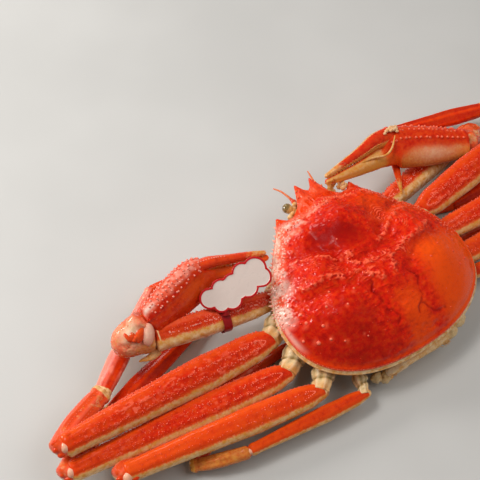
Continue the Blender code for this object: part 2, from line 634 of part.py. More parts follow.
def cut(target, cutter_bms, work):
    """Take the grown neighbours away from a piece and keep its main body."""
    for cbm in cutter_bms:
        mesh = bpy.data.meshes.new("cutter")
        cbm.to_mesh(mesh)
        cbm.free()
        c = bpy.data.objects.new("cutter", mesh)
        work.objects.link(c)
        if meets(target, c):
            for crossing in (False, True):
                mod = target.modifiers.new("cut", "BOOLEAN")
                mod.operation = "DIFFERENCE"
                mod.solver = "EXACT"
                mod.use_self = crossing
                mod.object = c
                bpy.context.view_layer.update()
                dg = bpy.context.evaluated_depsgraph_get()
                fresh = bpy.data.meshes.new_from_object(target.evaluated_get(dg))
                target.modifiers.remove(mod)
                bm = tidy(fresh)
                bpy.data.meshes.remove(fresh)
                whole = len(bm.verts) > 8 and closed(bm)
                if whole:
                    bm.to_mesh(target.data)
                    target["cut"] = True
                bm.free()
                if whole:
                    break
        bpy.data.objects.remove(c)
        bpy.data.meshes.remove(mesh)


def build():
    for ob in list(bpy.data.objects):
        bpy.data.objects.remove(ob, do_unlink=True)
    scene = bpy.context.scene
    home = bpy.data.collections.new("snow_crab")
    work = bpy.data.collections.new("cutters")
    scene.collection.children.link(home)
    scene.collection.children.link(work)

    specs = {}
    for (side, k) in LEGS:
        for part, spec in leg_pieces(side, k).items():
            specs["leg%d_%s_%s" % (k, side, part)] = spec
    for side in ("L", "R"):
        for part, spec in claw_pieces(side).items():
            specs["cheliped_%s_%s" % (side, part)] = spec
    for side in ("L", "R"):
        specs["eye_" + side] = eye_spec(side)
        specs["antenna_" + side] = feeler_spec(side)

    fixed = {"carapace": carapace, "thorax": thorax}
    made = {}
    made["carapace"] = add("carapace", carapace(), RED, 0.3, home)
    made["thorax"] = add("thorax", thorax(), CREAM, 0.45, home)
    made["abdomen"] = add("abdomen", abdomen(), PALE, 0.45, home)
    made["mouthparts"] = add("mouthparts", mouthparts(), ORANGE, 0.4, home)
    tone = {"base": (CREAM, 0.45), "merus": (RED, 0.32), "carpus": (ORANGE, 0.32),
            "propodus": (RED, 0.34), "dactyl": (ORANGE, 0.36)}
    for name, spec in specs.items():
        last = name.split("_")[-1]
        colour, rough = tone.get(last, (OLIVE, 0.25) if name.startswith("eye") else (ORANGE, 0.4))
        made[name] = add(name, limb(**spec), colour, rough, home)
    made["tag"] = add("tag", tag_plate(), TAG_WHITE, 0.35, home)
    made["tag_band"] = add("tag_band", strap(), TAG_RED, 0.4, home)

    def grown(name, by=GAP):
        if name in fixed:
            return fixed[name](grow=by)
        return limb(grow=by, **specs[name])

    # every piece gives way to the one it hangs on, and to close neighbours
    jobs = []
    for (side, k) in LEGS:
        n = "leg%d_%s_" % (k, side)
        jobs += [(n + "merus", ["carapace", "thorax"] if k > 2 else ["carapace"]),
                 (n + "base", ["carapace", "thorax", n + "merus"]),
                 (n + "carpus", [n + "merus"]),
                 (n + "propodus", [n + "carpus", n + "merus"]),
                 (n + "dactyl", [n + "propodus"])]
    for side in ("L", "R"):
        n = "cheliped_%s_" % side
        jobs += [(n + "base", ["carapace", "thorax", n + "merus"]),
                 (n + "carpus", [n + "merus"]),
                 (n + "propodus", [n + "carpus", n + "merus"]),
                 (n + "dactyl", [n + "propodus"])]
        jobs += [("eye_" + side, ["carapace", "thorax"]),
                 ("antenna_" + side, ["carapace", "thorax", "eye_" + side])]
    jobs += [("mouthparts", ["thorax", "carapace", "antenna_L", "antenna_R", "eye_L", "eye_R"]),
             ("abdomen", ["thorax", "carapace"])]
    for target, cutters in jobs:
        cut(made[target], [grown(c) for c in cutters], work)
    for target, cutters in NEIGHBOUR_CUTS:
        cut(made[target], [grown(c, 2 * GAP) for c in cutters], work)
    for ob in made.values():
        if ob.get("cut"):
            bm = tidy(ob.data, MELT)
            bm.to_mesh(ob.data)
            bm.free()
            del ob["cut"]
        if ob.name.startswith("leg"):
            bm = bmesh.new()
            bm.from_mesh(ob.data)
            floor_flats(bm)
            bm.to_mesh(ob.data)
            bm.free()
    return made


# Pairs of separate limbs that lie against each other.
NEIGHBOUR_CUTS = [
    ("leg3_L_carpus", ["leg2_L_merus"]), ("leg3_R_carpus", ["leg2_R_merus"]),
    ("leg1_L_base", ["cheliped_L_base"]), ("leg1_R_base", ["cheliped_R_base"]),
    ("leg3_L_merus", ["leg2_L_merus"]), ("leg3_R_base", ["leg4_R_merus", "leg4_R_base"]),
    ("leg2_R_base", ["leg1_R_base"]),
]

build()
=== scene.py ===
# Looks of the snow crab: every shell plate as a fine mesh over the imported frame, with
# procedural shell, eye and tag materials, a pale floor and soft studio light.
# Lengths are in millimetres until a mesh is made. +X is the crab's left, -Y its front.
import math
import bpy
import numpy as np
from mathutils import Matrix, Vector


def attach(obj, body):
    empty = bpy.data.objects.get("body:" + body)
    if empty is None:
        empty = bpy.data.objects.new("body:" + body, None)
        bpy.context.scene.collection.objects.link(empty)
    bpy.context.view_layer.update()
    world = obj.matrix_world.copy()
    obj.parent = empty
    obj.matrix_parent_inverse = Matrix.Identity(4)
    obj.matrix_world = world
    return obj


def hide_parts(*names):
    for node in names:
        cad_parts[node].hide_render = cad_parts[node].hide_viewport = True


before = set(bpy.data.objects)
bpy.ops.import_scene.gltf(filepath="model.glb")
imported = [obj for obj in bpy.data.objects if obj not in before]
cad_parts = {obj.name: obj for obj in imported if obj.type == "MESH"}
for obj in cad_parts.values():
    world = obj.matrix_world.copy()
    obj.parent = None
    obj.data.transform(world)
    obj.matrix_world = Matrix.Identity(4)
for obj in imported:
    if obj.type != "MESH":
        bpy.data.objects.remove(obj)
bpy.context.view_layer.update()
MM = 0.001
PITCH = 0.52                # spacing of the fine meshes

# ------------------------------------------------------------------ sizes, as in the solids
GAP = 0.34
HALF_WIDTH, WIDE_Y, REAR_LENGTH, FRONT_LENGTH, REAR_POWER = 66.0, 17.4, 47.0, 67.4, 2.3
TOOTH_X, TOOTH_Y, TOOTH_Z = 27.7, -50.5, 37.0
HORN_X, HORN_Y, HORN_Z = 5.6, -64.0, 41.0
DOME_Z, RIM_Z0, RIM_SLOPE, RIM_HALF, SHELL_DROP, CENTRE_Y = 54.0, 30.8, -0.1034, 0.9, 3.2, 6.0
FLAP_TOP = 4.6
STERNUM_Z = FLAP_TOP + GAP
EYE_R = 3.3

LEG_SIZE = {
    1: dict(merus=(21.0, 12.5), carpus=(13.5, 11.0), propodus=(12.5, 8.0), dactyl=(7.4, 5.6)),
    2: dict(merus=(18.5, 11.5), carpus=(13.0, 10.5), propodus=(13.0, 7.6), dactyl=(7.4, 5.2)),
    3: dict(merus=(17.0, 11.0), carpus=(12.5, 10.0), propodus=(12.5, 7.4), dactyl=(7.0, 4.6)),
    4: dict(merus=(10.0, 8.6), carpus=(8.2, 7.4), propodus=(7.6, 6.0), dactyl=(4.8, 3.8)),
}
LEGS = {
    ("L", 1): [(47, -3, 16), (72.5, 11.2, 23.1), (203, 8, 29), (171, -13, 18), (112.5, -64.5, 4.0), (66, -60, 2.0)],
    ("L", 2): [(46, 14, 15), (74, 33, 19), (206, 19, 19), (172, -3, 8), (102, -27, 2.4), (53, -38, 1.6)],
    ("L", 3): [(42, 30, 14), (63.5, 52, 17.2), (181, 35, 18.5), (152, 22, 6.4), (83, 15, 2.3), (37, 12, 1.4)],
    ("L", 4): [(33, 42, 13), (41, 65.7, 12), (115.5, 58.5, 11.5), (146, 47.5, 5.4), (117, 34, 1.8), (84, 31, 1.3)],
    ("R", 1): [(-47, -3, 16), (-62, -14.3, 23.1), (-190, -34, 31), (-158, -62, 18), (-87, -84, 12), (-60, -32, 22.6)],
    ("R", 2): [(-46, 14, 15), (-63, 4, 19), (-197, 9.8, 21.9), (-165, -14, 8), (-95, -15, 2.4), (-47, -30, 1.6)],
    ("R", 3): [(-42, 30, 14), (-62, 24, 17), (-182, 28.7, 18.9), (-152, 16, 6.4), (-82, 8, 2.3), (-34, 8, 1.4)],
    ("R", 4): [(-33, 40, 13), (-52, 34, 13), (-128, 45, 11.5), (-158, 40, 5.4), (-133, 27, 1.8), (-100, 24, 1.3)],
}
MERUS_LEAN = {("L", 1): 20, ("L", 2): 10, ("L", 3): 5, ("L", 4): 10,
              ("R", 1): 20, ("R", 2): 10, ("R", 3): 6, ("R", 4): 10}
TIP_ARCH = {("R", 1): 4.6}
CLAW_LEGS = {
    "L": dict(root=(40, -21, 17), merus0=(57, -10, 23), merus1=(130, -20.5, 32),
              carpus=(146, -27.5, 33), wrist=(130.0, -27.6, 41.2),
              palm1=(90.4, -38.9, 42.2), hand_up=(0.26, -0.46, 0.82),
              finger=(71.4, -36.6, 40.8), tip=(47.7, -31.6, 37.5), merus_up=(0.0, 0.35, 1.0),
              carpus_end=(132.45, -30.2, 41.96), wrist_up=(0.12, 0.10, 1.0), arch=0.7, hinge=0.19, stout=0.68),
    "R": dict(root=(-40, -21, 15), merus0=(-50, -35, 13.5), merus1=(-120, -51.5, 10.5),
              carpus=(-136, -50, 14.5), wrist=(-121.5, -40.5, 25),
              palm1=(-71, -60, 34.5), hand_up=(-0.60, -0.70, 0.42),
              finger=(-42, -59.0, 41), tip=(-12.5, -54, 46.2), merus_up=(0.0, 0.0, 1.0),
              carpus_end=(-122.42, -40.15, 24.83), wrist_up=(-0.60, -0.70, 0.42), arch=1.5, hinge=0.27, stout=1.0),
}
PALM_HEIGHT, PALM_THICK, WRIST_HEIGHT, CLAW_MERUS = 29.0, 15.5, 20.0, (16.0, 13.5)
EYES = {"L": (16.8, -54.4, 36.0), "R": (-18.6, -56.2, 38.2)}

TAG_CENTRE = (75.4, -19.7, 46.0)
TAG_WIDTH, TAG_HEIGHT, TAG_THICK = 36.0, 17.0, 1.2
TAG_MID = (-1.0, -0.8)
TAG_LOBES = [(-16.6, 2.2, 6.4), (-8.2, 3.8, 5.9), (-0.6, 3.4, 5.6), (7.2, 5.2, 6.2), (14.6, 3.2, 7.2),
             (15.4, -2.8, 6.2), (5.5, -3.8, 6.4), (-6.0, -4.9, 6.4), (-12.6, -4.0, 5.2)]
TAG_ALONG, TAG_FACE, TAG_STRAP_T = (-0.958, 0.063, 0.280), (0.278, 0.450, 0.849), 0.44
TONGUE_AT = (-13.0, -6.0)


# ------------------------------------------------------------------ numbers
def unit(a):
    a = np.asarray(a, float)
    return a / np.maximum(np.linalg.norm(a, axis=-1, keepdims=True), 1e-12)


def ease(a, b, x):
    """0 before a, 1 after b (or the other way round), smooth between."""
    t = np.clip((np.asarray(x, float) - a) / (b - a), 0.0, 1.0)
    return t * t * (3 - 2 * t)


def bell(x, width):
    return np.exp(-(np.asarray(x) / width) ** 2)


def corner_value(ix, iy, iz, seed):
    with np.errstate(over="ignore"):
        h = (ix.astype(np.uint32) * np.uint32(374761393)) ^ (iy.astype(np.uint32) * np.uint32(668265263))
        h ^= (iz.astype(np.uint32) * np.uint32(2246822519)) ^ np.uint32((seed * 2654435761 + 97) % 4294967296)
        h = (h ^ (h >> np.uint32(15))) * np.uint32(2246822519)
        h = (h ^ (h >> np.uint32(13))) * np.uint32(3266489917)
        h ^= h >> np.uint32(16)
    return h.astype(np.float64) / 4294967295.0


def noise(P, size, seed=0):
    """Smooth value noise from -1 to 1; size is the spacing of its waves in mm."""
    q = np.asarray(P, float) / size
    i = np.floor(q)
    f = q - i
    i = i.astype(np.int64)
    u = f * f * f * (f * (f * 6 - 15) + 10)
    total = 0.0
    for dx in (0, 1):
        for dy in (0, 1):
            for dz in (0, 1):
                w = (u[..., 0] if dx else 1 - u[..., 0]) * (u[..., 1] if dy else 1 - u[..., 1]) \
                    * (u[..., 2] if dz else 1 - u[..., 2])
                total = total + w * corner_value(i[..., 0] + dx, i[..., 1] + dy, i[..., 2] + dz, seed)
    return total * 2 - 1


def fbm(P, size, octaves=3, seed=0, gain=0.5):
    total, amp, norm = 0.0, 1.0, 0.0
    for k in range(octaves):
        total = total + amp * noise(P, size / 2 ** k, seed + 11 * k)
        norm += amp
        amp *= gain
    return total / norm


def folds(P, size, seed=0):
    """Wavy ridges: 1 on a ridge, 0 between."""
    warp = np.stack([noise(P, size * 1.7, seed + 5), noise(P, size * 1.7, seed + 6),
                     noise(P, size * 1.7, seed + 7)], -1) * size * 0.6
    return 1 - np.abs(noise(np.asarray(P) + warp, size, seed))


def grains(P, size, seed=0):
    """Round grains, one to a cell: 1 at a grain's middle, 0 at its edge and beyond."""
    q = np.asarray(P, float) / size
    i = np.floor(q).astype(np.int64)
    best = np.full(q.shape[:-1], 9.0)
    for dx in (-1, 0, 1):
        for dy in (-1, 0, 1):
            for dz in (-1, 0, 1):
                cx, cy, cz = i[..., 0] + dx, i[..., 1] + dy, i[..., 2] + dz
                ox = cx + 0.15 + 0.7 * corner_value(cx, cy, cz, seed)
                oy = cy + 0.15 + 0.7 * corner_value(cx, cy, cz, seed + 1)
                oz = cz + 0.15 + 0.7 * corner_value(cx, cy, cz, seed + 2)
                d = (q[..., 0] - ox) ** 2 + (q[..., 1] - oy) ** 2 + (q[..., 2] - oz) ** 2
                best = np.minimum(best, d)
    return np.clip(1 - np.sqrt(best) / 0.5, 0, 1)


def line_distance(P, line):
    """Distance in the XY plane from points to a bent line."""
    x, y = P[..., 0], P[..., 1]
    best = np.full(x.shape, 1e9)
    for (ax, ay), (bx, by) in zip(line, line[1:]):
        dx, dy = bx - ax, by - ay
        s = np.clip(((x - ax) * dx + (y - ay) * dy) / (dx * dx + dy * dy), 0, 1)
        best = np.minimum(best, np.hypot(x - ax - s * dx, y - ay - s * dy))
    return best


def curve(points, t):
    """A smooth curve through the points, t from 0 to 1 (Catmull-Rom)."""
    p = np.asarray(points, float)
    n = len(p) - 1
    q = np.vstack([p[0] * 2 - p[1], p, p[-1] * 2 - p[-2]])
    s = np.clip(np.asarray(t, float), 0, 1) * n
    i = np.minimum(s.astype(int), n - 1)
    f = (s - i)[..., None]
    p0, p1, p2, p3 = q[i], q[i + 1], q[i + 2], q[i + 3]
    return 0.5 * (2 * p1 + (p2 - p0) * f + (2 * p0 - 5 * p1 + 4 * p2 - p3) * f ** 2 + (3 * p1 - p0 - 3 * p2 + p3) * f ** 3)


def table(rows, t, soft=0.05):
    """Look-up in rows of (t, value, value ...), with the kinks rounded off."""
    rows = np.asarray(rows, float)
    t = np.asarray(t, float)
    out = 0.0
    steps = np.linspace(-soft, soft, 7)
    for d in steps:
        s = np.clip(t + d, 0, 1)
        out = out + np.stack([np.interp(s, rows[:, 0], rows[:, k]) for k in range(1, rows.shape[1])], -1)
    return out / len(steps)


# ------------------------------------------------------------------ tones
TONES = ("cream", "pink", "dark", "orange", "fleck", "pearl", "ochre", "wet")


def tone_array(shape, **w):
    out = np.zeros(tuple(shape) + (len(TONES),))
    for k, name in enumerate(TONES):
        if name in w:
            out[..., k] = np.clip(w[name], 0, 1)
    return out


# ------------------------------------------------------------------ meshes
class Heap:
    """Points, faces and tones of one piece, gathered from several shapes."""

    def __init__(self):
        self.v, self.q, self.t, self.c, self.n = [], [], [], [], 0

    def put(self, verts, quads, tris, tones):
        verts = np.asarray(verts, float).reshape(-1, 3)
        self.v.append(verts)
        if len(quads):
            self.q.append(np.asarray(quads, int).reshape(-1, 4) + self.n)
        if len(tris):
            self.t.append(np.asarray(tris, int).reshape(-1, 3) + self.n)
        self.c.append(np.asarray(tones, float).reshape(len(verts), len(TONES)))
        self.n += len(verts)

    def make(self, name, material, slot, *nodes):
        v = np.vstack(self.v) * MM
        q = np.vstack(self.q) if self.q else np.zeros((0, 4), int)
        t = np.vstack(self.t) if self.t else np.zeros((0, 3), int)
        c = np.vstack(self.c)
        me = bpy.data.meshes.new(name)
        me.vertices.add(len(v))
        me.vertices.foreach_set("co", v.astype(np.float32).ravel())
        me.loops.add(q.size + t.size)
        me.loops.foreach_set("vertex_index", np.concatenate([q.ravel(), t.ravel()]).astype(np.int32))
        me.polygons.add(len(q) + len(t))
        starts = np.concatenate([np.arange(len(q)) * 4, q.size + np.arange(len(t)) * 3])
        me.polygons.foreach_set("loop_start", starts.astype(np.int32))
        me.polygons.foreach_set("use_smooth", np.ones(len(q) + len(t), bool))
        me.update(calc_edges=True)
        for label, cols in (("tone_a", c[:, 0:4]), ("tone_b", c[:, 4:8])):
            a = me.attributes.new(label, "FLOAT_COLOR", "POINT")
            a.data.foreach_set("color", cols.astype(np.float32).ravel())
        me.materials.append(material)
        ob = bpy.data.objects.new(name, me)
        bpy.context.scene.collection.objects.link(ob)
        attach(ob, "root")
        if nodes:
            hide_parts(*nodes)
        return ob


def grid_faces(n, m, first=0):
    i, j = np.meshgrid(np.arange(n - 1), np.arange(m), indexing="ij")
    a = first + i * m + j
    b = first + i * m + (j + 1) % m
    return np.stack([a, b, b + m, a + m], -1).reshape(-1, 4)


def grid_normals(P, centre=None):
    du = np.roll(P, -1, 1) - np.roll(P, 1, 1)
    dv = np.empty_like(P)
    dv[1:-1] = P[2:] - P[:-2]
    dv[0], dv[-1] = P[1] - P[0], P[-1] - P[-2]
    N = unit(np.cross(du, dv))
    c = P.mean(1, keepdims=True) if centre is None else centre
    if np.sum((P - c) * N) < 0:
        N = -N
    return N


def close_grid(heap, P, tones, poles, floor=0.0):
    """A skin over rings, with a fan to a pole at each end, its faces pointing out."""
    n, m = P.shape[:2]
    verts = np.vstack([P.reshape(-1, 3), np.asarray(poles, float)])
    verts[:, 2] = np.maximum(verts[:, 2], floor)
    cols = np.vstack([tones.reshape(-1, len(TONES)), tones[0].mean(0)[None], tones[-1].mean(0)[None]])
    quads = grid_faces(n, m)
    j = np.arange(m)
    k = (j + 1) % m
    t0 = np.stack([k, j, np.full(m, n * m)], -1)
    t1 = np.stack([(n - 1) * m + j, (n - 1) * m + k, np.full(m, n * m + 1)], -1)
    tris = np.vstack([t0, t1])
    # outward or inward, from the signed volume
    f = np.vstack([quads[:, :3], quads[:, [0, 2, 3]], tris])
    a, b, c = verts[f[:, 0]], verts[f[:, 1]], verts[f[:, 2]]
    if np.sum(a * np.cross(b, c)) < 0:
        quads, tris = quads[:, ::-1], tris[:, ::-1]
    heap.put(verts, quads, tris, cols)


def studs(heap, pos, nrm, radius, height, sharp=0.5, lean=None, base=None, tip=None, sides=7):
    """Small cones or domes: tubercles, spines and beads."""
    pos = np.asarray(pos, float).reshape(-1, 3)
    k = len(pos)
    if not k:
        return
    axis = unit(np.asarray(nrm, float).reshape(-1, 3) + (0 if lean is None else np.asarray(lean, float)))
    radius = np.broadcast_to(np.asarray(radius, float), (k,))
    height = np.broadcast_to(np.asarray(height, float), (k,))
    ref = np.where(np.abs(axis[:, 2:3]) < 0.9, np.array([[0, 0, 1.0]]), np.array([[1.0, 0, 0]]))
    u = unit(np.cross(axis, ref))
    w = np.cross(axis, u)
    levels = [(-0.35, 1.15), (0.05, 1.0), (0.45, 0.86 - 0.3 * sharp), (0.8, 0.55 - 0.3 * sharp)]
    ang = 2 * np.pi * np.arange(sides) / sides
    rows = []
    for h, r in levels:
        ring = pos[:, None] + axis[:, None] * (h * height)[:, None, None] \
            + (u[:, None] * np.cos(ang)[None, :, None] + w[:, None] * np.sin(ang)[None, :, None]) * (r * radius)[:, None, None]
        rows.append(ring)
    V = np.concatenate(rows + [(pos + axis * height[:, None])[:, None]], 1)
    per = V.shape[1]
    nl = len(levels)
    quads = grid_faces(nl, sides)
    j = np.arange(sides)
    tris = np.stack([(nl - 1) * sides + j, (nl - 1) * sides + (j + 1) % sides, np.full(sides, nl * sides)], -1)
    off = (np.arange(k) * per)[:, None, None]
    base = tone_array(()) if base is None else np.asarray(base, float)
    tip = base if tip is None else np.asarray(tip, float)
    base = np.broadcast_to(base, (k, len(TONES)))
    tip = np.broadcast_to(tip, (k, len(TONES)))
    share = np.concatenate([np.full(sides, f) for f in (0.0, 0.1, 0.6, 0.95)] + [np.array([1.0])])
    C = base[:, None] * (1 - share[None, :, None]) + tip[:, None] * share[None, :, None]
    heap.put(V, (quads[None] + off).reshape(-1, 4), (tris[None] + off).reshape(-1, 3), C)


def blob(heap, centre, radii, axes=None, tone=None, rough=0.0, seed=0, turns=26, rings=16, power=2.0, floor=0.0):
    """A lump: an ellipsoid on its own axes, with an uneven skin."""
    axes = np.eye(3) if axes is None else unit(np.asarray(axes, float))
    lat = np.linspace(-np.pi / 2, np.pi / 2, rings + 2)[1:-1]
    lon = 2 * np.pi * np.arange(turns) / turns
    c = lambda a: np.sign(np.cos(a)) * np.abs(np.cos(a)) ** (2 / power)
    s = lambda a: np.sign(np.sin(a)) * np.abs(np.sin(a)) ** (2 / power)
    X = np.stack([c(lat)[:, None] * c(lon)[None], c(lat)[:, None] * s(lon)[None],
                  np.broadcast_to(s(lat)[:, None], (rings, turns))], -1)
    top, low = np.array([0, 0, 1.0]), np.array([0, 0, -1.0])

    def place(q):
        return np.asarray(centre, float) + (q * np.asarray(radii, float)) @ axes

    P = place(X)
    if rough:
        P = P + unit(P - np.asarray(centre, float)) * (rough * fbm(P, 2.4, 3, seed))[..., None]
    tone = tone_array(()) if tone is None else tone
    if callable(tone):
        cols = tone(P, X)
    else:
        cols = np.broadcast_to(tone, P.shape[:2] + (len(TONES),))
    close_grid(heap, P, np.array(cols), [place(low), place(top)], floor)


# ------------------------------------------------------------------ limbs
class Limb:
    """A limb piece as a fine grid: rings along it, points round it."""

    def __init__(self, spec, front=1.0, pitch=PITCH, shrink=0.0):
        pts = np.asarray(spec["points"], float)
        face = unit(spec["face"])
        power = spec.get("power", 2.3)
        cap0, cap1 = spec.get("cap0", 2.0), spec.get("cap1", 2.0)
        probe = curve(pts, np.linspace(0, 1, 80))
        self.length = float(np.sum(np.linalg.norm(np.diff(probe, axis=0), axis=1)))
        w, h = table(spec["rows"], np.linspace(0, 1, 9)).mean(0)
        m = max(18, int(math.pi * (w + h) / 2 / pitch))
        n = max(10, int(self.length / pitch))
        turn = 2 * np.pi * (np.arange(m) + 0.5) / m
        c, s = np.cos(turn), np.sin(turn)
        cx = np.sign(c) * np.abs(c) ** (2 / power)
        cy = np.sign(s) * np.abs(s) ** (2 / power)
        st = []
        if cap0 > 0:
            k = max(5, int(max(cap0, min(w, h) / 2) * 1.3 / pitch))
            st += [(0.0, -cap0 * math.sin(a), math.cos(a)) for a in np.linspace(math.pi / 2, 0, k + 1)[1:-1]]
        st += [(t, 0.0, 1.0) for t in np.linspace(0, 1, n)]
        if cap1 > 0:
            k = max(5, int(max(cap1, min(w, h) / 2) * 1.3 / pitch))
            st += [(1.0, cap1 * math.sin(a), math.cos(a)) for a in np.linspace(0, math.pi / 2, k + 1)[1:-1]]
        st = np.array(st)
        t = st[:, 0]
        tan = unit(curve(pts, np.minimum(t + 0.02, 1)) - curve(pts, np.maximum(t - 0.02, 0)))
        wide = unit(np.cross(tan, face[None]))
        up = unit(np.cross(wide, tan))
        size = table(spec["rows"], t, spec.get("soft", 0.05)) / 2 - shrink
        cen = curve(pts, t) + tan * st[:, 1:2]
        self.C = cen
        self.half = size * st[:, 2:3]
        self.P = cen[:, None] + wide[:, None] * (cx[None, :, None] * self.half[:, 0][:, None, None]) \
            + up[:, None] * (cy[None, :, None] * self.half[:, 1][:, None, None])
        self.tan, self.wide, self.up = tan, wide, up
        self.t = t + st[:, 1] / self.length          # runs a little under 0 and over 1 on the caps
        self.T = np.broadcast_to(self.t[:, None], self.P.shape[:2])
        self.S = self.T * self.length
        self.turn = turn
        self.power = power
        self.front = front
        self.fx = np.broadcast_to(cx[None] * front, self.P.shape[:2])   # 1 at the front edge, -1 at the rear
        self.cy = np.broadcast_to(cy[None], self.P.shape[:2])           # 1 on the face
        self.poles = [pts[0] - tan[0] * cap0, pts[-1] + tan[-1] * cap1]
        self.N = grid_normals(self.P)
        self.lift = [0.0, 0.0]

    def push(self, d):
        self.P = self.P + self.N * np.asarray(d)[..., None]
        self.N = grid_normals(self.P)
        return self

    def at(self, t, fx=None, top=True, turn=None):
        """Point, normal, and direction along, for places given by t and fx or an angle."""
        t = np.atleast_1d(np.asarray(t, float))
        if turn is None:
            fx = np.broadcast_to(np.asarray(fx, float), t.shape) * self.front
            c = np.sign(fx) * np.abs(np.clip(fx, -1, 1)) ** (self.power / 2)
            turn = np.arccos(np.clip(c, -1, 1))
            if not top:
                turn = -turn
        turn = np.broadcast_to(np.asarray(turn, float), t.shape) % (2 * np.pi)
        i = np.clip(np.interp(t, self.t, np.arange(len(self.t))), 0, len(self.t) - 1.001)
        m = len(self.turn)
        j = (turn / (2 * np.pi) * m - 0.5) % m
        i0, j0 = i.astype(int), j.astype(int) % m
        fi, fj = (i - i0)[:, None], (j - np.floor(j))[:, None]
        j1 = (j0 + 1) % m

        def mix(A):
            return (A[i0, j0] * (1 - fi) + A[i0 + 1, j0] * fi) * (1 - fj) + (A[i0, j1] * (1 - fi) + A[i0 + 1, j1] * fi) * fj

        return mix(self.P), unit(mix(self.N)), self.tan[i0]

    def close(self, heap, tones, floor=0.0):
        close_grid(heap, self.P, tones, self.poles, floor)


def leg_specs(side, k):
    root, m0, elbow, c1, p1, tip = [np.array(p, float) for p in LEGS[(side, k)]]
    size = LEG_SIZE[k]
    mw, mh = size["merus"]
    cw, ch = size["carpus"]
    pw, ph = size["propodus"]
    dw, dh = size["dactyl"]
    lean = math.radians(MERUS_LEAN[(side, k)])
    face = (0.0, math.sin(lean), math.cos(lean))
    flat = (0.0, 0.08, 1.0)
    out = unit(elbow - m0)
    s = {}
    s["base"] = dict(points=[root, root * 0.45 + m0 * 0.55, m0], face=face,
                     rows=[(0, mw * 0.78, mh * 1.3), (0.6, mw * 0.72, mh * 1.12), (1, mw * 0.6, mh * 0.92)],
                     cap0=0, cap1=0)
    end = elbow - out * 2.0
    s["merus"] = dict(points=[m0, (m0 + end) / 2, end], face=face,
                      rows=[(0, mw * 0.56, mh * 0.74), (0.03, mw * 0.72, mh * 0.85), (0.08, mw * 0.86, mh * 0.93),
                            (0.34, mw, mh), (0.75, mw * 0.8, mh * 0.92), (1, mw * 0.66, mh * 0.86)],
                      cap0=4.5, cap1=2.6, soft=0.02)
    start = elbow + out * 2.2
    s["carpus"] = dict(points=[start, start * 0.5 + c1 * 0.5 + out * 2.6, c1], face=face if k < 4 else flat,
                       rows=[(0, cw * 0.95, ch * 0.95), (0.45, cw, ch), (1, cw * 0.86, ch * 0.84)],
                       cap0=3.0, cap1=1.6)
    pd = unit(p1 - c1)
    s["propodus"] = dict(points=[c1 + pd * 0.5, (c1 + p1) / 2, p1], face=flat,
                         rows=[(0, pw * 0.80, ph * 0.95), (0.3, pw, ph), (1, pw * 0.62, ph * 0.74)],
                         cap0=1.6, cap1=1.4)
    dd = unit(tip - p1)
    mid = (p1 + tip) / 2 + np.array([0, 0, TIP_ARCH.get((side, k), 0.8)])
    s["dactyl"] = dict(points=[p1 + dd * 0.5, mid, tip], face=flat,
                       rows=[(0, dw * 0.92, dh * 0.95), (0.3, dw, dh), (0.8, dw * 0.5, dh * 0.55),
                             (1, dw * 0.16, dh * 0.2)], cap0=1.2, cap1=0.8)
    return s


def claw_specs(side):
    c = {k: (np.array(p, float) if isinstance(p, tuple) else p) for k, p in CLAW_LEGS[side].items()}
    root, m0, m1, wrist, palm1 = c["root"], c["merus0"], c["merus1"], c["wrist"], c["palm1"]
    axis = unit(palm1 - wrist)
    up = unit(c["hand_up"])
    up = unit(up - axis * up.dot(axis))
    side_dir = unit(np.cross(axis, up))
    mw, mh = CLAW_MERUS
    s = {}
    s["base"] = dict(points=[root, (root + m0) / 2, m0], face=c["merus_up"],
                     rows=[(0, 15, 14), (1, 12.5, 11.5)], cap0=0, cap1=0)
    s["merus"] = dict(points=[m0, (m0 + m1) / 2 + np.array([0, 0.8, 0.6]), m1], face=c["merus_up"],
                      rows=[(0, mw * 0.72, mh * 0.8), (0.2, mw * 0.92, mh * 0.94), (0.75, mw, mh),
                            (1, mw * 0.96, mh * 0.98)], power=2.8, cap0=3.0, cap1=1.5)
    md = unit(m1 - m0)
    s["carpus"] = dict(points=[m1 + md * 2.0, c["carpus"], c["carpus_end"]], face=c["wrist_up"],
                       rows=[(0, 13, 14), (0.5, 16.5, 17.5), (1, 13.5, 16.0)], cap0=1.5, cap1=1.2)
    low = palm1 - up * (PALM_HEIGHT * 0.23)
    finger, tip = c["finger"], c["tip"]
    s["propodus"] = dict(points=[wrist + axis, (wrist + palm1) / 2 - up * 0.5, palm1 - up - axis * 4.0,
                                 low + axis * 8 + up * 0.5, finger - up * 5.6, tip - up * 1.6],
                         face=side_dir,
                         rows=[(0, WRIST_HEIGHT, 11.5), (0.2, PALM_HEIGHT * 0.93, PALM_THICK),
                               (0.4, PALM_HEIGHT, PALM_THICK * 0.95), (0.6, PALM_HEIGHT * 0.52, 10.5),
                               (0.8, 9.0, 7.6), (0.95, 5.6, 4.6), (1, 3.0, 2.6)],
                         power=2.2, cap0=1.6, cap1=1.2)
    hinge = palm1 + up * (PALM_HEIGHT * c["hinge"]) + axis * 1.5
    root_high = PALM_HEIGHT * 0.40 * c["stout"]
    top_mid = finger + up * 3.9
    s["dactyl"] = dict(points=[hinge, (hinge + top_mid) / 2 + up * c["arch"], top_mid, tip + up * 2.4],
                       face=side_dir,
                       rows=[(0, root_high, 10.5), (0.25, root_high, 10.0),
                             (0.6, 4.2 + 4.2 * c["stout"], 7.4), (0.9, 5.0, 4.4), (1, 2.8, 2.4)], power=2.2, cap0=2.0, cap1=1.2)
    return s, axis, up, side_dir


# ------------------------------------------------------------------ materials
def srgb(r, g, b):
    def lin(x):
        x /= 255.0
        return x / 12.92 if x <= 0.04045 else ((x + 0.055) / 1.055) ** 2.4
    return (lin(r), lin(g), lin(b), 1.0)


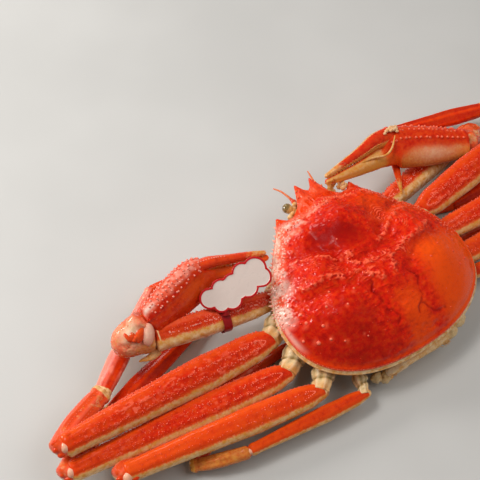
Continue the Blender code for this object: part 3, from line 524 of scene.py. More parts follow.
class Nodes:
    def __init__(self, name):
        self.m = bpy.data.materials.new(name)
        self.m.use_nodes = True
        self.t = self.m.node_tree
        self.bsdf = self.t.nodes["Principled BSDF"]

    def new(self, kind, **props):
        n = self.t.nodes.new(kind)
        for k, val in props.items():
            setattr(n, k, val)
        return n

    def link(self, a, b):
        self.t.links.new(a, b)

    def set(self, **values):
        for k, val in values.items():
            self.bsdf.inputs[k.replace("_", " ")].default_value = val

    def coords(self):
        return self.new("ShaderNodeTexCoord").outputs["Object"]

    def noise(self, scale, detail=3.0, rough=0.55, coords=None):
        n = self.new("ShaderNodeTexNoise")
        n.inputs["Scale"].default_value = scale
        n.inputs["Detail"].default_value = detail
        n.inputs["Roughness"].default_value = rough
        self.link(coords or self.coords(), n.inputs["Vector"])
        return n.outputs["Fac"]

    def math(self, op, a, b=None, c=None, clamp=False):
        n = self.new("ShaderNodeMath", operation=op, use_clamp=clamp)
        for k, x in enumerate((a, b, c)):
            if x is None:
                continue
            if isinstance(x, (int, float)):
                n.inputs[k].default_value = x
            else:
                self.link(x, n.inputs[k])
        return n.outputs[0]

    def ramp(self, x, a, b, lo=0.0, hi=1.0):
        n = self.new("ShaderNodeMapRange", interpolation_type="SMOOTHSTEP")
        self.link(x, n.inputs["Value"])
        for k, val in (("From Min", a), ("From Max", b), ("To Min", lo), ("To Max", hi)):
            n.inputs[k].default_value = val
        return n.outputs["Result"]

    def mix(self, fac, a, b, kind="MIX"):
        n = self.new("ShaderNodeMix", data_type="RGBA", blend_type=kind)
        n.clamp_factor = True
        for x, key in ((fac, 0), (a, 6), (b, 7)):
            if isinstance(x, (int, float)):
                n.inputs[key].default_value = x
            elif isinstance(x, tuple):
                n.inputs[key].default_value = x
            else:
                self.link(x, n.inputs[key])
        return n.outputs[2]


RED = srgb(224, 28, 4)
DEEP = srgb(150, 8, 2)
ORANGE = srgb(234, 74, 10)
PINK = srgb(250, 106, 76)
CREAM = srgb(248, 216, 164)
OCHRE = srgb(222, 152, 62)
PEARL = srgb(252, 232, 214)


def shell_material(name, red=RED, deep=DEEP, orange=ORANGE, pink=PINK, cream=CREAM, ochre=OCHRE,
                   rough=(0.24, 0.42), bump=0.35, coat=0.45):
    n = Nodes(name)
    xyz = n.coords()
    a = n.new("ShaderNodeAttribute", attribute_name="tone_a")
    b = n.new("ShaderNodeAttribute", attribute_name="tone_b")
    sa, sb = n.new("ShaderNodeSeparateColor"), n.new("ShaderNodeSeparateColor")
    n.link(a.outputs["Color"], sa.inputs[0])
    n.link(b.outputs["Color"], sb.inputs[0])
    cream_w, pink_w, dark_w, orange_w = sa.outputs[0], sa.outputs[1], sa.outputs[2], a.outputs["Alpha"]
    fleck, pearl_w, ochre_w, wet_w = sb.outputs[0], sb.outputs[1], sb.outputs[2], b.outputs["Alpha"]
    broad = n.noise(70.0, 2.0, 0.5, xyz)
    middle = n.noise(330.0, 3.0, 0.6, xyz)
    fine = n.noise(1150.0, 3.0, 0.65, xyz)
    speck = n.noise(700.0, 1.0, 0.5, xyz)

    ow = n.math("ADD", orange_w, n.math("MULTIPLY", n.math("SUBTRACT", broad, 0.5), 0.55))
    col = n.mix(n.ramp(ow, 0.0, 1.0), red, orange)
    # the middle-sized mottling of cooked shell
    col = n.mix(n.ramp(middle, 0.42, 0.72, 0.0, 0.45), col, orange)
    col = n.mix(n.math("MULTIPLY", n.ramp(middle, 0.50, 0.28, 0.0, 0.50), n.math("SUBTRACT", 1.0, n.math("MULTIPLY", orange_w, 0.85))), col, deep)
    col = n.mix(dark_w, col, deep)
    pw = n.math("ADD", pink_w, n.math("MULTIPLY", n.math("SUBTRACT", fine, 0.5), n.math("MULTIPLY", pink_w, 0.9)))
    col = n.mix(n.ramp(pw, 0.08, 0.95), col, pink)
    # cream and ochre with a flecked edge
    cream_col = n.mix(n.ramp(middle, 0.3, 0.7), cream, ochre)
    cream_col = n.mix(ochre_w, cream_col, ochre)
    wob = n.math("MULTIPLY", n.math("SUBTRACT", speck, 0.5), n.math("MULTIPLY_ADD", fleck, 2.6, 0.35))
    cw = n.math("ADD", cream_w, n.math("MULTIPLY", wob, n.math("MULTIPLY", n.math("MULTIPLY", cream_w, n.math("SUBTRACT", 1.0, cream_w)), 4.0)))
    col = n.mix(n.ramp(cw, 0.15, 0.85), col, cream_col)
    col = n.mix(pearl_w, col, PEARL)
    col = n.mix(n.ramp(fine, 0.2, 0.8, 0.0, 0.16), col, deep)
    n.link(col, n.bsdf.inputs["Base Color"])
    r = n.ramp(fine, 0.25, 0.75, rough[0], rough[1])
    r = n.math("ADD", r, n.math("MULTIPLY", pink_w, 0.06))
    r = n.math("SUBTRACT", r, n.math("MULTIPLY", wet_w, 0.14), clamp=True)
    n.link(r, n.bsdf.inputs["Roughness"])
    bp = n.new("ShaderNodeBump")
    bp.inputs["Strength"].default_value = bump
    bp.inputs["Distance"].default_value = 0.00022
    height = n.math("ADD", n.math("MULTIPLY", fine, 0.8), n.math("MULTIPLY", middle, 0.9))
    n.link(height, bp.inputs["Height"])
    n.link(bp.outputs[0], n.bsdf.inputs["Normal"])
    n.set(Coat_Weight=coat, Coat_Roughness=0.09, IOR=1.5, Specular_IOR_Level=0.11)
    n.bsdf.inputs["Subsurface Weight"].default_value = 0.0
    return n.m


# The back's orange is bright so that the right-rear flank reads lit: partly the shell's own orange, partly painted
# light.
M_BACK = shell_material("shell_back", orange=srgb(248, 82, 8), pink=srgb(250, 100, 66), rough=(0.28, 0.44), coat=0.42)
M_LIMB = shell_material("shell_limb", red=srgb(218, 34, 8), orange=srgb(234, 84, 20), coat=0.34)
M_CLAW = shell_material("shell_claw", red=srgb(220, 36, 8), orange=srgb(234, 92, 26), coat=0.38)
M_BODY = shell_material("shell_body", red=srgb(240, 214, 164), deep=srgb(136, 108, 50), orange=srgb(228, 156, 84),
                        pink=srgb(250, 230, 204), rough=(0.34, 0.52), coat=0.35)
M_BELLY = shell_material("shell_belly", red=srgb(236, 206, 164), deep=srgb(196, 150, 96), orange=srgb(232, 160, 96),
                         pink=srgb(246, 214, 188), rough=(0.34, 0.52), coat=0.2)


def eye_material():
    n = Nodes("eye_glass")
    xyz = n.coords()
    col = n.mix(n.ramp(n.noise(900.0, 2.0, 0.5, xyz), 0.35, 0.65), srgb(92, 70, 32), srgb(150, 122, 70))
    a = n.new("ShaderNodeAttribute", attribute_name="tone_a")
    s = n.new("ShaderNodeSeparateColor")
    n.link(a.outputs["Color"], s.inputs[0])
    col = n.mix(s.outputs[0], col, srgb(206, 170, 104))
    n.link(col, n.bsdf.inputs["Base Color"])
    n.link(n.ramp(n.noise(2000.0, 1.0, 0.5, xyz), 0.3, 0.7, 0.10, 0.2), n.bsdf.inputs["Roughness"])
    n.set(Coat_Weight=1.0, Coat_Roughness=0.03)
    return n.m


def plastic_material(name, colour, other, rough, coat):
    n = Nodes(name)
    xyz = n.coords()
    soft = n.noise(260.0, 3.0, 0.5, xyz)
    a = n.new("ShaderNodeAttribute", attribute_name="tone_a")
    s = n.new("ShaderNodeSeparateColor")
    n.link(a.outputs["Color"], s.inputs[0])
    face = n.mix(n.ramp(soft, 0.3, 0.7, 0.0, 0.10), colour, other)
    col = n.mix(n.ramp(s.outputs[2], 0.4, 0.6), face, srgb(196, 14, 18))
    n.link(col, n.bsdf.inputs["Base Color"])
    n.link(n.ramp(soft, 0.3, 0.7, rough * 0.8, rough * 1.25), n.bsdf.inputs["Roughness"])
    bp = n.new("ShaderNodeBump")
    bp.inputs["Strength"].default_value = 0.15
    bp.inputs["Distance"].default_value = 0.0001
    n.link(n.noise(1500.0, 2.0, 0.5, xyz), bp.inputs["Height"])
    n.link(bp.outputs[0], n.bsdf.inputs["Normal"])
    n.set(Coat_Weight=coat, Coat_Roughness=0.08)
    return n.m


M_EYE = eye_material()
M_TAG = plastic_material("tag_plate_plastic", srgb(226, 208, 198), srgb(216, 188, 174), 0.3, 0.5)
M_BAND = plastic_material("tag_strap_plastic", srgb(150, 12, 16), srgb(110, 6, 10), 0.4, 0.25)


# ------------------------------------------------------------------ carapace
def rim_z(y):
    return RIM_Z0 + RIM_SLOPE * y


FRONT = [(TOOTH_X, TOOTH_Y, TOOTH_Z, 29.5, -43.6),
         (TOOTH_X - 4.6, TOOTH_Y + 4.8, TOOTH_Z, 23.5, -43.6),
         (18.0, -45.2, 37.6, 18.0, -43.6),
         (12.0, -49.5, 39.0, 12.2, -44.4),
         (HORN_X + 3.0, HORN_Y + 7.0, 40.6, 8.0, -46.0),
         (HORN_X, HORN_Y, HORN_Z, 5.0, -47.2),
         (2.4, HORN_Y + 6.5, 41.0, 2.5, -48.0),
         (0.0, HORN_Y + 8.5, 41.2, 0.0, -48.4)]
SWELLINGS = [(0, -24, 14, 12, 4.6), (0, 23, 11, 9, 3.2), (0, 50, 12, 7, 1.5),
             (37, 1, 12, 10, 3.4), (36, 31, 14, 12, 2.6), (33, -29, 8, 7, 1.4),
             (18, 2, 6, 9, -2.6), (20, -18, 6, 8, -2.4), (15, 39, 6, 9, -1.2)]

# Features of the back, as x and y. The two halves are alike, not the same.
CRESTS = [[(46, -16), (39, -14), (28, -9), (19, -2), (11, -1)],
          [(11, -1), (12, 5), (10, 10), (0, 12), (-7, 20)],
          [(46, 3), (42, 5), (31, 7), (20, 11), (8, 16), (5, 25)],
          [(-43, -13), (-36, -11), (-27, -8), (-18, -2), (-11, 2)],
          [(-44, 4), (-33, 8), (-22, 11), (-10, 14), (-4, 24)]]
NECK_GROOVE = [(50, -25), (39, -20), (28, -15), (18, -8), (13, 3), (7, 7), (0, 8)]
GILL_GROOVE = [(47, 10), (38, 13), (28, 15), (19, 20), (13, 26)]
HEART_GROOVES = [[(11, 21), (14, 27), (11, 33), (12, 39), (7, 45), (9, 49)],
                 [(-13, 27), (-16, 32), (-13, 37), (-13, 42), (-9, 46), (-14, 51)], [(-9, 46), (-6, 51)], [(-14, 51), (-22, 54)]]
# Patches with rings of fine wrinkles: x, y, radius, strength.
WHORLS = [(-23, -15, 6.5, 1.0), (-33, -13, 6.0, 0.9), (-32, -1, 6.5, 0.9), (-34, 9, 6.0, 0.7), (-18, 12, 5.5, 0.9),
          (-7, 14, 5.5, 1.0), (4, 12, 5.5, 1.0), (-41, 14, 4.5, 0.6), (33, -4, 6.5, 0.7), (23, 4, 5.5, 0.7),
          (41, -2, 5.0, 0.6), (14, 14, 5.0, 0.7), (-2, 25, 5.0, 0.35)]
BROW_GLEAM = [(34, -33), (25, -31.5), (14.5, -37), (5, -39.3), (-6, -40.8)]
BROW_RIDGE = [(33, -34), (24, -38.5), (15, -40), (5, -41), (0, -41.5)]
# Larger tubercles: x, y, radius.
TUBERCLES = [(55, 22, 1.2), (46, 29, 1.1), (55, 32, 1.4), (47, 36, 1.0), (23, 22, 0.8), (31, 27, 0.8), (53, 13, 1.1),
             (12, -10, 0.6), (49, -3, 1.0), (58, 7, 1.0), (39, 19, 0.9), (35, 15, 0.7), (51, -12, 1.0), (60, 26, 1.0),
             (40, 42, 0.7), (30, 44, 0.6)]


def back_edges():
    """The shell's edge and the brow line behind it, all the way round: x, y, z."""
    a = 0.5 * np.pi * np.linspace(0, 1, 150, endpoint=False)
    x = HALF_WIDTH * np.sin(a) ** (2 / REAR_POWER)
    y = WIDE_Y + REAR_LENGTH * np.cos(a) ** (2 / REAR_POWER)
    rear = np.stack([x, y, rim_z(y)], -1)
    t = 0.9 * np.linspace(0, 1, 120)
    y = WIDE_Y - FRONT_LENGTH * t
    x = TOOTH_X + (HALF_WIDTH - TOOTH_X) * (1 - t ** 1.9) ** 1.3
    side = np.stack([x, y, rim_z(y)], -1)
    # even the spacing of the side and rear
    line = np.vstack([rear, side])
    gap = np.concatenate([[0], np.cumsum(np.linalg.norm(np.diff(line, axis=0), axis=1))])
    s = np.linspace(0, gap[-1], 300)
    line = np.stack([np.interp(s, gap, line[:, k]) for k in range(3)], -1)
    front = np.array([tuple(line[-1]) + tuple(line[-1][:2])] + [f for f in FRONT])
    gap = np.concatenate([[0], np.cumsum(np.linalg.norm(np.diff(front[:, :2], axis=0), axis=1))])
    s = np.linspace(0, gap[-1], 92)[1:]
    fine = np.stack([np.interp(s, gap, front[:, k]) for k in range(5)], -1)
    for _ in range(3):      # take the hard corners off, but keep the points
        soft = fine.copy()
        soft[1:-1] = (fine[:-2] + fine[1:-1] * 2 + fine[2:]) / 4
        fine = soft
    edge = np.vstack([line, fine[:, :3]])
    brow = np.vstack([line, np.stack([fine[:, 3], fine[:, 4], fine[:, 2]], -1)])
    flip = np.array([-1.0, 1, 1])
    edge = np.vstack([edge, (edge[1:-1] * flip)[::-1]])
    brow = np.vstack([brow, (brow[1:-1] * flip)[::-1]])
    return edge, brow


def mirrored(P):
    Q = P.copy()
    Q[..., 0] = np.abs(Q[..., 0])
    return Q


def back_masks(P):
    """How strongly each kind of surface shows, at points of the back."""
    Q = mirrored(P)
    x, y = P[..., 0], P[..., 1]
    w = np.stack([noise(P, 8, 3) + 0.5 * noise(P, 3.4, 5), noise(P, 8, 4) + 0.5 * noise(P, 3.4, 6), np.zeros_like(x)], -1) * 1.7
    p, q = P + w, Q + w
    m = {"crest": 0.0, "heart": 0.0, "whorl": 0.0, "rings": 0.0}
    for line in CRESTS:
        m["crest"] = np.maximum(m["crest"], bell(line_distance(p, line), 2.0))
    m["neck"] = bell(line_distance(q, NECK_GROOVE), 3.2)
    m["gill"] = bell(line_distance(q, GILL_GROOVE), 3.2)
    for line in HEART_GROOVES:
        m["heart"] = np.maximum(m["heart"], bell(line_distance(p, line), 0.95))
    for cx, cy, r, strength in WHORLS:
        d = np.hypot(p[..., 0] - cx, (p[..., 1] - cy) * 1.15)
        here = strength * bell(d, r)
        d = np.hypot(p[..., 0] - cx - 5.5 * math.cos(cx), (p[..., 1] - cy - 5.5 * math.sin(cx)) * 1.15)
        rings = 0.5 + 0.5 * np.cos(d * 2 * math.pi / 1.75 + 3.4 * noise(P, 4.2, 9) + 1.6 * noise(P, 2.0, 10) + cx)
        m["rings"] = np.where(here > m["whorl"], rings, m["rings"])
        m["whorl"] = np.maximum(m["whorl"], here)
    m["brow"] = bell(line_distance(Q, BROW_RIDGE), 4.2)
    dx, dy = x - 8.7, y + 13.2
    m["shade"] = bell(np.hypot((dy * 0.526 - dx * 0.851) / 19, (dx * 0.525 + dy * 0.851) / 8.5) ** 2, 1.15)
    m["smooth"] = np.maximum(bell(np.hypot((Q[..., 0] - 14) / 1.25, Q[..., 1] + 22), 12), bell(np.hypot(x, y + 20), 10))
    m["flank"] = ease(16, 30, Q[..., 0]) * ease(12, 30, y)
    return m


def carapace():
    heap = Heap()
    edge, brow = back_edges()
    m = len(edge)
    c = np.array([0, CENTRE_Y, 0.0])
    rhos = np.concatenate([np.linspace(0.02, 0.97, 150), np.linspace(0.97, 1.0, 40)[1:]])

    def at(line, rho):
        d = (line - c) * [1, 1, 0]
        return c + d * rho

    rings = []
    for rho in rhos:
        r = min(rho, 0.97)
        q = at(brow, r)
        z = brow[:, 2] + RIM_HALF
        shape = (1 - r ** 2.6) ** 0.8
        z = z + (DOME_Z - z) * shape
        fade = min(1.0, 3.0 * (1 - r))
        for cx, cy, sx, sy, h in SWELLINGS:
            for side in ((1,) if cx == 0 else (1, -1)):
                z = z + fade * h * np.exp(-((q[:, 0] - side * cx) / sx) ** 2 - ((q[:, 1] - cy) / sy) ** 2)
        p = np.stack([q[:, 0], q[:, 1], z], -1)
        if rho > 0.97:
            f = (rho - 0.97) / 0.03
            e = np.stack([edge[:, 0], edge[:, 1], edge[:, 2] + RIM_HALF], -1)
            bulge = 0.55 * math.sin(math.pi * f)
            p = p * (1 - f) + e * f + np.array([0, 0, 1.0]) * bulge
        rings.append(p)
    top = np.array(rings)
    n = len(top)
    N = grid_normals(top, np.array([0, CENTRE_Y, 20.0]))
    rho = np.broadcast_to(rhos[:, None], (n, m))
    x, y = top[..., 0], top[..., 1]
    Q = mirrored(top)
    k = back_masks(top)
    inner = ease(1.0, 0.9, rho)
    busy = np.clip(1 - 0.98 * k["shade"] - 0.45 * k["smooth"] - 0.8 * k["flank"] - 0.4 * ease(26, 40, y), 0.06, 1)
    calm = bell(np.hypot((x - 16.5) / 10, (y + 17.5) / 9), 1.0)     # plain ground in front of the whorls
    busy = busy * (1 - 0.92 * calm)
    fold1 = folds(top, 6.0, 21)
    fold2 = folds(top * [1, 1.3, 1], 2.9, 31)
    wrinkle = 0.5 + 0.5 * noise(top * [1.0, 1.0, 1.0], 1.25, 33)
    d = -1.7 * k["neck"] - 1.1 * k["gill"] - 0.42 * k["heart"] + 1.25 * k["crest"] * (0.45 + 0.75 * wrinkle)
    d = d + 0.75 * k["brow"] * ease(1.0, 0.93, rho)
    d = d + k["whorl"] * (0.55 + 0.42 * (k["rings"] - 0.5))
    d = d + busy * inner * (0.75 * (fold1 - 0.7) + 0.60 * (fold2 - 0.7) + 0.30 * fbm(top, 5.0, 3, 41))
    d = d + 0.30 * fbm(top, 17.0, 2, 51) * inner
    g = grains(top, 2.1, 61)
    g2 = grains(top, 1.3, 71)
    margin = ease(0.80, 0.92, rho) * ease(17, 3, y) * ease(-48, -40, y)
    gran = np.clip(0.55 * k["crest"] + 0.9 * margin * (0.3 + 0.7 * ease(-20, 25, x)) + 0.4 * k["brow"] + 0.10 * busy, 0, 1)
    d = d + gran * (0.50 * g ** 0.8 + 0.14 * g2)
    # a raised lip along the rear and sides
    lip = bell(rho - 0.978, 0.010) * ease(-30, -10, y)
    d = d + 0.14 * lip - 0.20 * bell(rho - 0.955, 0.014) * ease(-30, -10, y)
    # rough ground between the brow and the points in front of it
    snout = ease(-41, -45, y) * ease(0.93, 0.97, rho) * ease(1.0, 0.996, rho)
    rough = folds(top * [1, 0.55, 1], 3.6, 47)
    d = d * ease(1.0, 0.985, rho) + snout * (0.95 * (rough - 0.7) + 0.30 * g)
    top = top + N * d[..., None]
    N = grid_normals(top, np.array([0, CENTRE_Y, 20.0]))

    # tones of the back
    fine = fbm(top, 3.0, 2, 81)
    # Pink on the crests: partly the raised granules' own colour, partly painted highlight on the relief.
    pink = 0.95 * k["crest"] * ease(0.25, 0.75, wrinkle)
    pink = np.maximum(pink, 1.1 * k["whorl"] * ease(0.35, 0.95, k["rings"]) * ease(-0.5, 0.3, fine))
    pink = np.maximum(pink, 0.8 * k["brow"] * ease(-0.5, 0.4, fine))
    pink = np.maximum(pink, busy * 0.20 * ease(0.86, 0.98, fold2))
    # lit_side is the crab's left, where the key light falls. The margin is its own pale pink on both sides, made
    # stronger on the lit side: painted light.
    lit_side = ease(-20, 25, x)
    margin = margin * (0.25 + 0.75 * lit_side)
    pink = np.maximum(pink, margin * (0.65 + 0.35 * g))
    gleam = bell(line_distance(top, BROW_GLEAM), 2.3) * ease(-0.75, 0.25, fine)
    pink = np.maximum(pink, 0.95 * gleam)
    # Pink on the ridges of the rough snout: partly its own colour, partly painted highlight.
    pink = np.maximum(pink, snout * ease(0.45, 0.95, rough) * 0.85)
    for px, py, r in TUBERCLES:
        pink = np.maximum(pink, 0.50 * bell(np.hypot(x - px, y - py), 1.4 * r + 0.5))
    # On the smooth bulges the darker red is partly the shell's own deep red, partly a painted dark reflection.
    dark = 0.72 * k["shade"] + 0.75 * k["heart"] * ease(-0.6, 0.2, fine) + 0.40 * k["neck"] + 0.35 * k["gill"] + 0.45 * k["smooth"] * ease(-0.3, 0.4, 0.3 + fine)
    # Deep red on the left rear: partly the shell's own tone, partly painted shade.
    dark = np.maximum(dark, 0.70 * ease(12, 26, x) * ease(16, 27, y) * ease(0.99, 0.9, rho) * (0.75 + 0.5 * fine))
    dark = np.maximum(dark, 0.35 * bell(np.hypot(x - 30, y + 1), 11) * (0.6 + fine))
    pink = pink * (1 - 0.8 * k["shade"])
    dark = np.maximum(dark, 0.42 * ease(34, 20, np.abs(x - 4)) * ease(-26, -14, y) * ease(26, 14, y) * np.clip(0.75 + 0.6 * fine, 0, 1))
    dark = np.maximum(dark, 0.40 * ease(2, 14, x) * ease(40, 30, x) * ease(8, 16, y) * ease(-0.4, 0.4, fine))
    dark = np.clip(dark, 0, 1) * (1 - 0.85 * np.clip(pink, 0, 1))
    # Orange on the right-rear flank: partly the shell's own tone, partly painted sheen where light falls.
    orange = 0.84 * ease(-10, -32, x) * ease(2, 22, y)
    orange = np.maximum(orange, 0.60 * ease(14, 4, np.abs(x + 4)) * ease(26, 38, y))
    orange = np.maximum(orange, 0.45 * ease(-6, -22, x) * ease(-44, -30, y) * ease(0, -14, y))
    orange = np.maximum(orange, 0.40 * ease(0.91, 0.97, rho))
    rim = ease(0.986, 0.993, rho) * ease(-30, -16, y)
    # The cream edge and pearly white on the left margin and left rear rim: partly the margin's own pale colour, partly
    # painted highlight where the key light falls.
    cream = np.maximum(0.95 * rim, 0.40 * margin * ease(0.88, 0.97, rho) * lit_side)
    side_band = ease(0.74, 0.90, rho) * ease(21, 7, y) * ease(-47, -38, y) * lit_side
    pearl = side_band * ease(-0.05, 0.55, 0.9 * fbm(top, 6.5, 2, 91) + 0.35 * ease(0.0, 0.6, g) + 0.45 * ease(0.86, 0.98, rho) - 0.25 * ease(-12, -28, y)) * 0.72
    pearl = np.maximum(pearl, 0.42 * bell(rho - 0.962, 0.018) * ease(22, 40, x) * ease(2, 8, y) * ease(36, 24, y))
    pearl = np.maximum(pearl, 0.38 * gleam * ease(-0.1, 0.5, fine) * lit_side)
    # Pink at the very front: partly its own colour, partly painted highlight.
    front = ease(-47, -50, y) * ease(30, 26, Q[..., 0])
    pink = np.maximum(pink, 0.35 * front)
    tones = tone_array((n, m), pink=pink, dark=dark, orange=orange, cream=cream, pearl=pearl, fleck=0.15 * margin,
                       wet=0.6 * k["smooth"] + 0.6 * k["flank"])

    # the edge and the underside
    outward = unit((edge - c) * [1, 1, 0])
    low = []
    for f in np.linspace(70, -90, 9):
        a = math.radians(f)
        low.append(edge + outward * (0.5 * math.cos(a)) + np.array([0, 0, RIM_HALF * math.sin(a)]))
    lows = np.array(low)
    for r in (0.985, 0.96, 0.93):
        f = (1 - r) / 0.07
        q = at(edge, 1) * (1 - f) + at(brow, 0.91) * f
        q[:, 2] = (edge[:, 2] - RIM_HALF) * (1 - f) + (rim_z(q[:, 1]) - SHELL_DROP) * f
        lows = np.concatenate([lows, q[None]])
    for r in (0.91, 0.7, 0.4):
        q = at(brow, r)
        q[:, 2] = rim_z(q[:, 1]) - SHELL_DROP
        lows = np.concatenate([lows, q[None]])
    rim_y = np.broadcast_to(lows[..., 1], lows.shape[:2])
    low_t = tone_array(lows.shape[:2], cream=0.35 + 0.6 * ease(-30, -16, rim_y), orange=0.5, fleck=0.3)
    P = np.concatenate([top, lows])
    T = np.concatenate([tones, low_t])
    peak = top[0].mean(0)
    close_grid(heap, P, T, [peak, [0, CENTRE_Y, rim_z(CENTRE_Y) - SHELL_DROP]])

    # where a tubercle stands: find the grid point nearest to a place
    flat = top[:, :, :2].reshape(-1, 2)
    normals = N.reshape(-1, 3)
    points = top.reshape(-1, 3)

    def spot(px, py):
        i = int(np.argmin((flat[:, 0] - px) ** 2 + (flat[:, 1] - py) ** 2))
        return points[i], normals[i]

    rosy = tone_array((), pink=0.95)
    plain = tone_array((), pink=0.35)
    for s, share, tip in ((1, 1.0, tone_array((), pink=1.0, cream=0.22, pearl=0.12)), (-1, 0.75, rosy * 0.8)):
        pos, nrm, rad = [], [], []
        for px, py, r in TUBERCLES:
            p, nn = spot(s * px + 1.5 * math.sin(px * s), py + 1.5 * math.cos(py * s))
            pos.append(p)
            nrm.append(nn)
            rad.append(r * share)
        studs(heap, pos, nrm, np.array(rad), np.array(rad) * 0.7, 0.2, base=plain, tip=tip)
    # a row of fine beads all along the sides and rear, just inside the pale edge
    row = int(np.argmin(np.abs(rhos - 0.984)))
    pos, nrm = [], []
    for j in range(0, m, 2):
        if top[row, j, 1] > -24:
            pos.append(top[row, j])
            nrm.append(N[row, j])
    r = 0.34 + 0.12 * np.sin(np.arange(len(pos)) * 2.3)
    studs(heap, pos, nrm, r, r * 0.8, 0.2, base=tone_array((), pink=0.5), tip=tone_array((), pink=1.0, cream=0.45), sides=6)
    # small warts strewn over the back, closer together on the grained patches
    rng = np.random.default_rng(7)
    pick = rng.integers(int(0.05 * n), int(0.93 * n), 5200) * m + rng.integers(0, m, 5200)
    area = (rhos / rhos.max())[pick // m]
    keep = rng.random(len(pick)) < area * (0.09 + 0.7 * np.clip(gran.reshape(-1)[pick], 0, 1)) * (0.25 + 0.75 * busy.reshape(-1)[pick])
    pick = pick[keep]
    r = 0.30 + 0.30 * rng.random(len(pick)) ** 2
    local = tones.reshape(-1, len(TONES))[pick]
    studs(heap, points[pick], normals[pick], r, r * 0.95, 0.35, base=local, tip=local * 0.5 + rosy * 0.45, sides=6)

    # spines along the front half of each side, and rows of warts just above them
    for s in (1, -1):
        rim_line = edge[edge[:, 0] * s > 20]

        def beside(py):
            e = rim_line[int(np.argmin(np.abs(rim_line[:, 1] - py)))]
            return e, unit((e - c) * [1, 1, 0])

        pale_tip = tone_array((), cream=0.5 if s > 0 else 0.35, pearl=0.6 if s > 0 else 0.2, pink=0.9)
        pos, nrm, size = [], [], []
        for i, py in enumerate(np.arange(-45.0, 17.0, 2.35)):
            e, out = beside(py)
            big = (1.45, 0.85, 1.15)[i % 3]
            pos.append(e + [0, 0, 0.4])
            nrm.append(out + [0, -0.35, 0.30])
            size.append(big * (1.0 - 0.45 * float(ease(-2, 16, py))))
        size = np.array(size) * (1.0 if s > 0 else 0.6)
        studs(heap, pos, nrm, size * 0.80, size * 1.95, 0.85, base=tone_array((), pink=0.8, pearl=0.2), tip=pale_tip, sides=8)
        for row, (inset, scale) in enumerate(((2.6, 1.0), (5.4, 0.9), (8.2, 0.75))):
            pos, nrm = [], []
            for py in np.arange(-41.0, 15.0, 2.6 + 0.5 * row):
                e, out = beside(py)
                q = e - out * inset * (1 + 0.22 * math.sin(py * 1.7))
                p, nn = spot(q[0], q[1])
                pos.append(p)
                nrm.append(nn + out * 0.5)
            r = scale * (0.62 + 0.3 * rng.random(len(pos))) * (1.0 if s > 0 else 0.6)
            studs(heap, pos, nrm, r, r * 1.35, 0.6, base=tone_array((), pink=0.9, pearl=0.35 if s > 0 else 0.0), tip=pale_tip, sides=7)
    # short blunt points on the brow and dark dots between them
    pos, nrm = [], []
    for s in (1, -1):
        for f in np.linspace(0.04, 0.98, 13):
            q = curve(np.array([(px, py, 0) for px, py in BROW_RIDGE], float), np.array([f]))[0]
            p, nn = spot(s * q[0], q[1] + 0.8 * math.sin(f * 40))
            pos.append(p)
            nrm.append(nn + [0, -0.4, 0])
    studs(heap, pos, nrm, 0.65, 0.8, 0.6, base=tone_array((), pink=0.8), tip=tone_array((), pink=1, cream=0.5))
    pos = []
    nrm = []
    for s in (1, -1):
        for f in np.linspace(0.08, 0.95, 10):
            q = curve(np.array([(px, py, 0) for px, py in BROW_RIDGE], float), np.array([f]))[0]
            p, nn = spot(s * q[0] + 0.7, q[1] + 2.6 + 0.7 * math.sin(f * 60))
            pos.append(p)
            nrm.append(nn)
    studs(heap, pos, nrm, 0.36, 0.22, 0.2, base=BLACK, tip=BLACK)
    # points on the horns
    for s in (1, -1):
        pos = [np.array([s * (HORN_X + 1.6), HORN_Y + 5.0, HORN_Z + 1.2]), np.array([s * (HORN_X + 3.4), HORN_Y + 9.5, HORN_Z + 1.3]),
               np.array([s * (TOOTH_X + 0.6), TOOTH_Y + 2.5, TOOTH_Z + 1.1])]
        studs(heap, pos, [[s * 0.4, -0.3, 1]] * 3, 0.7, 0.9, 0.7, base=tone_array((), pink=0.6), tip=tone_array((), cream=0.8, pink=1))
    return heap.make("carapace_shell", M_BACK, "shell_red", "carapace")


BLACK = tone_array((), dark=1.0)


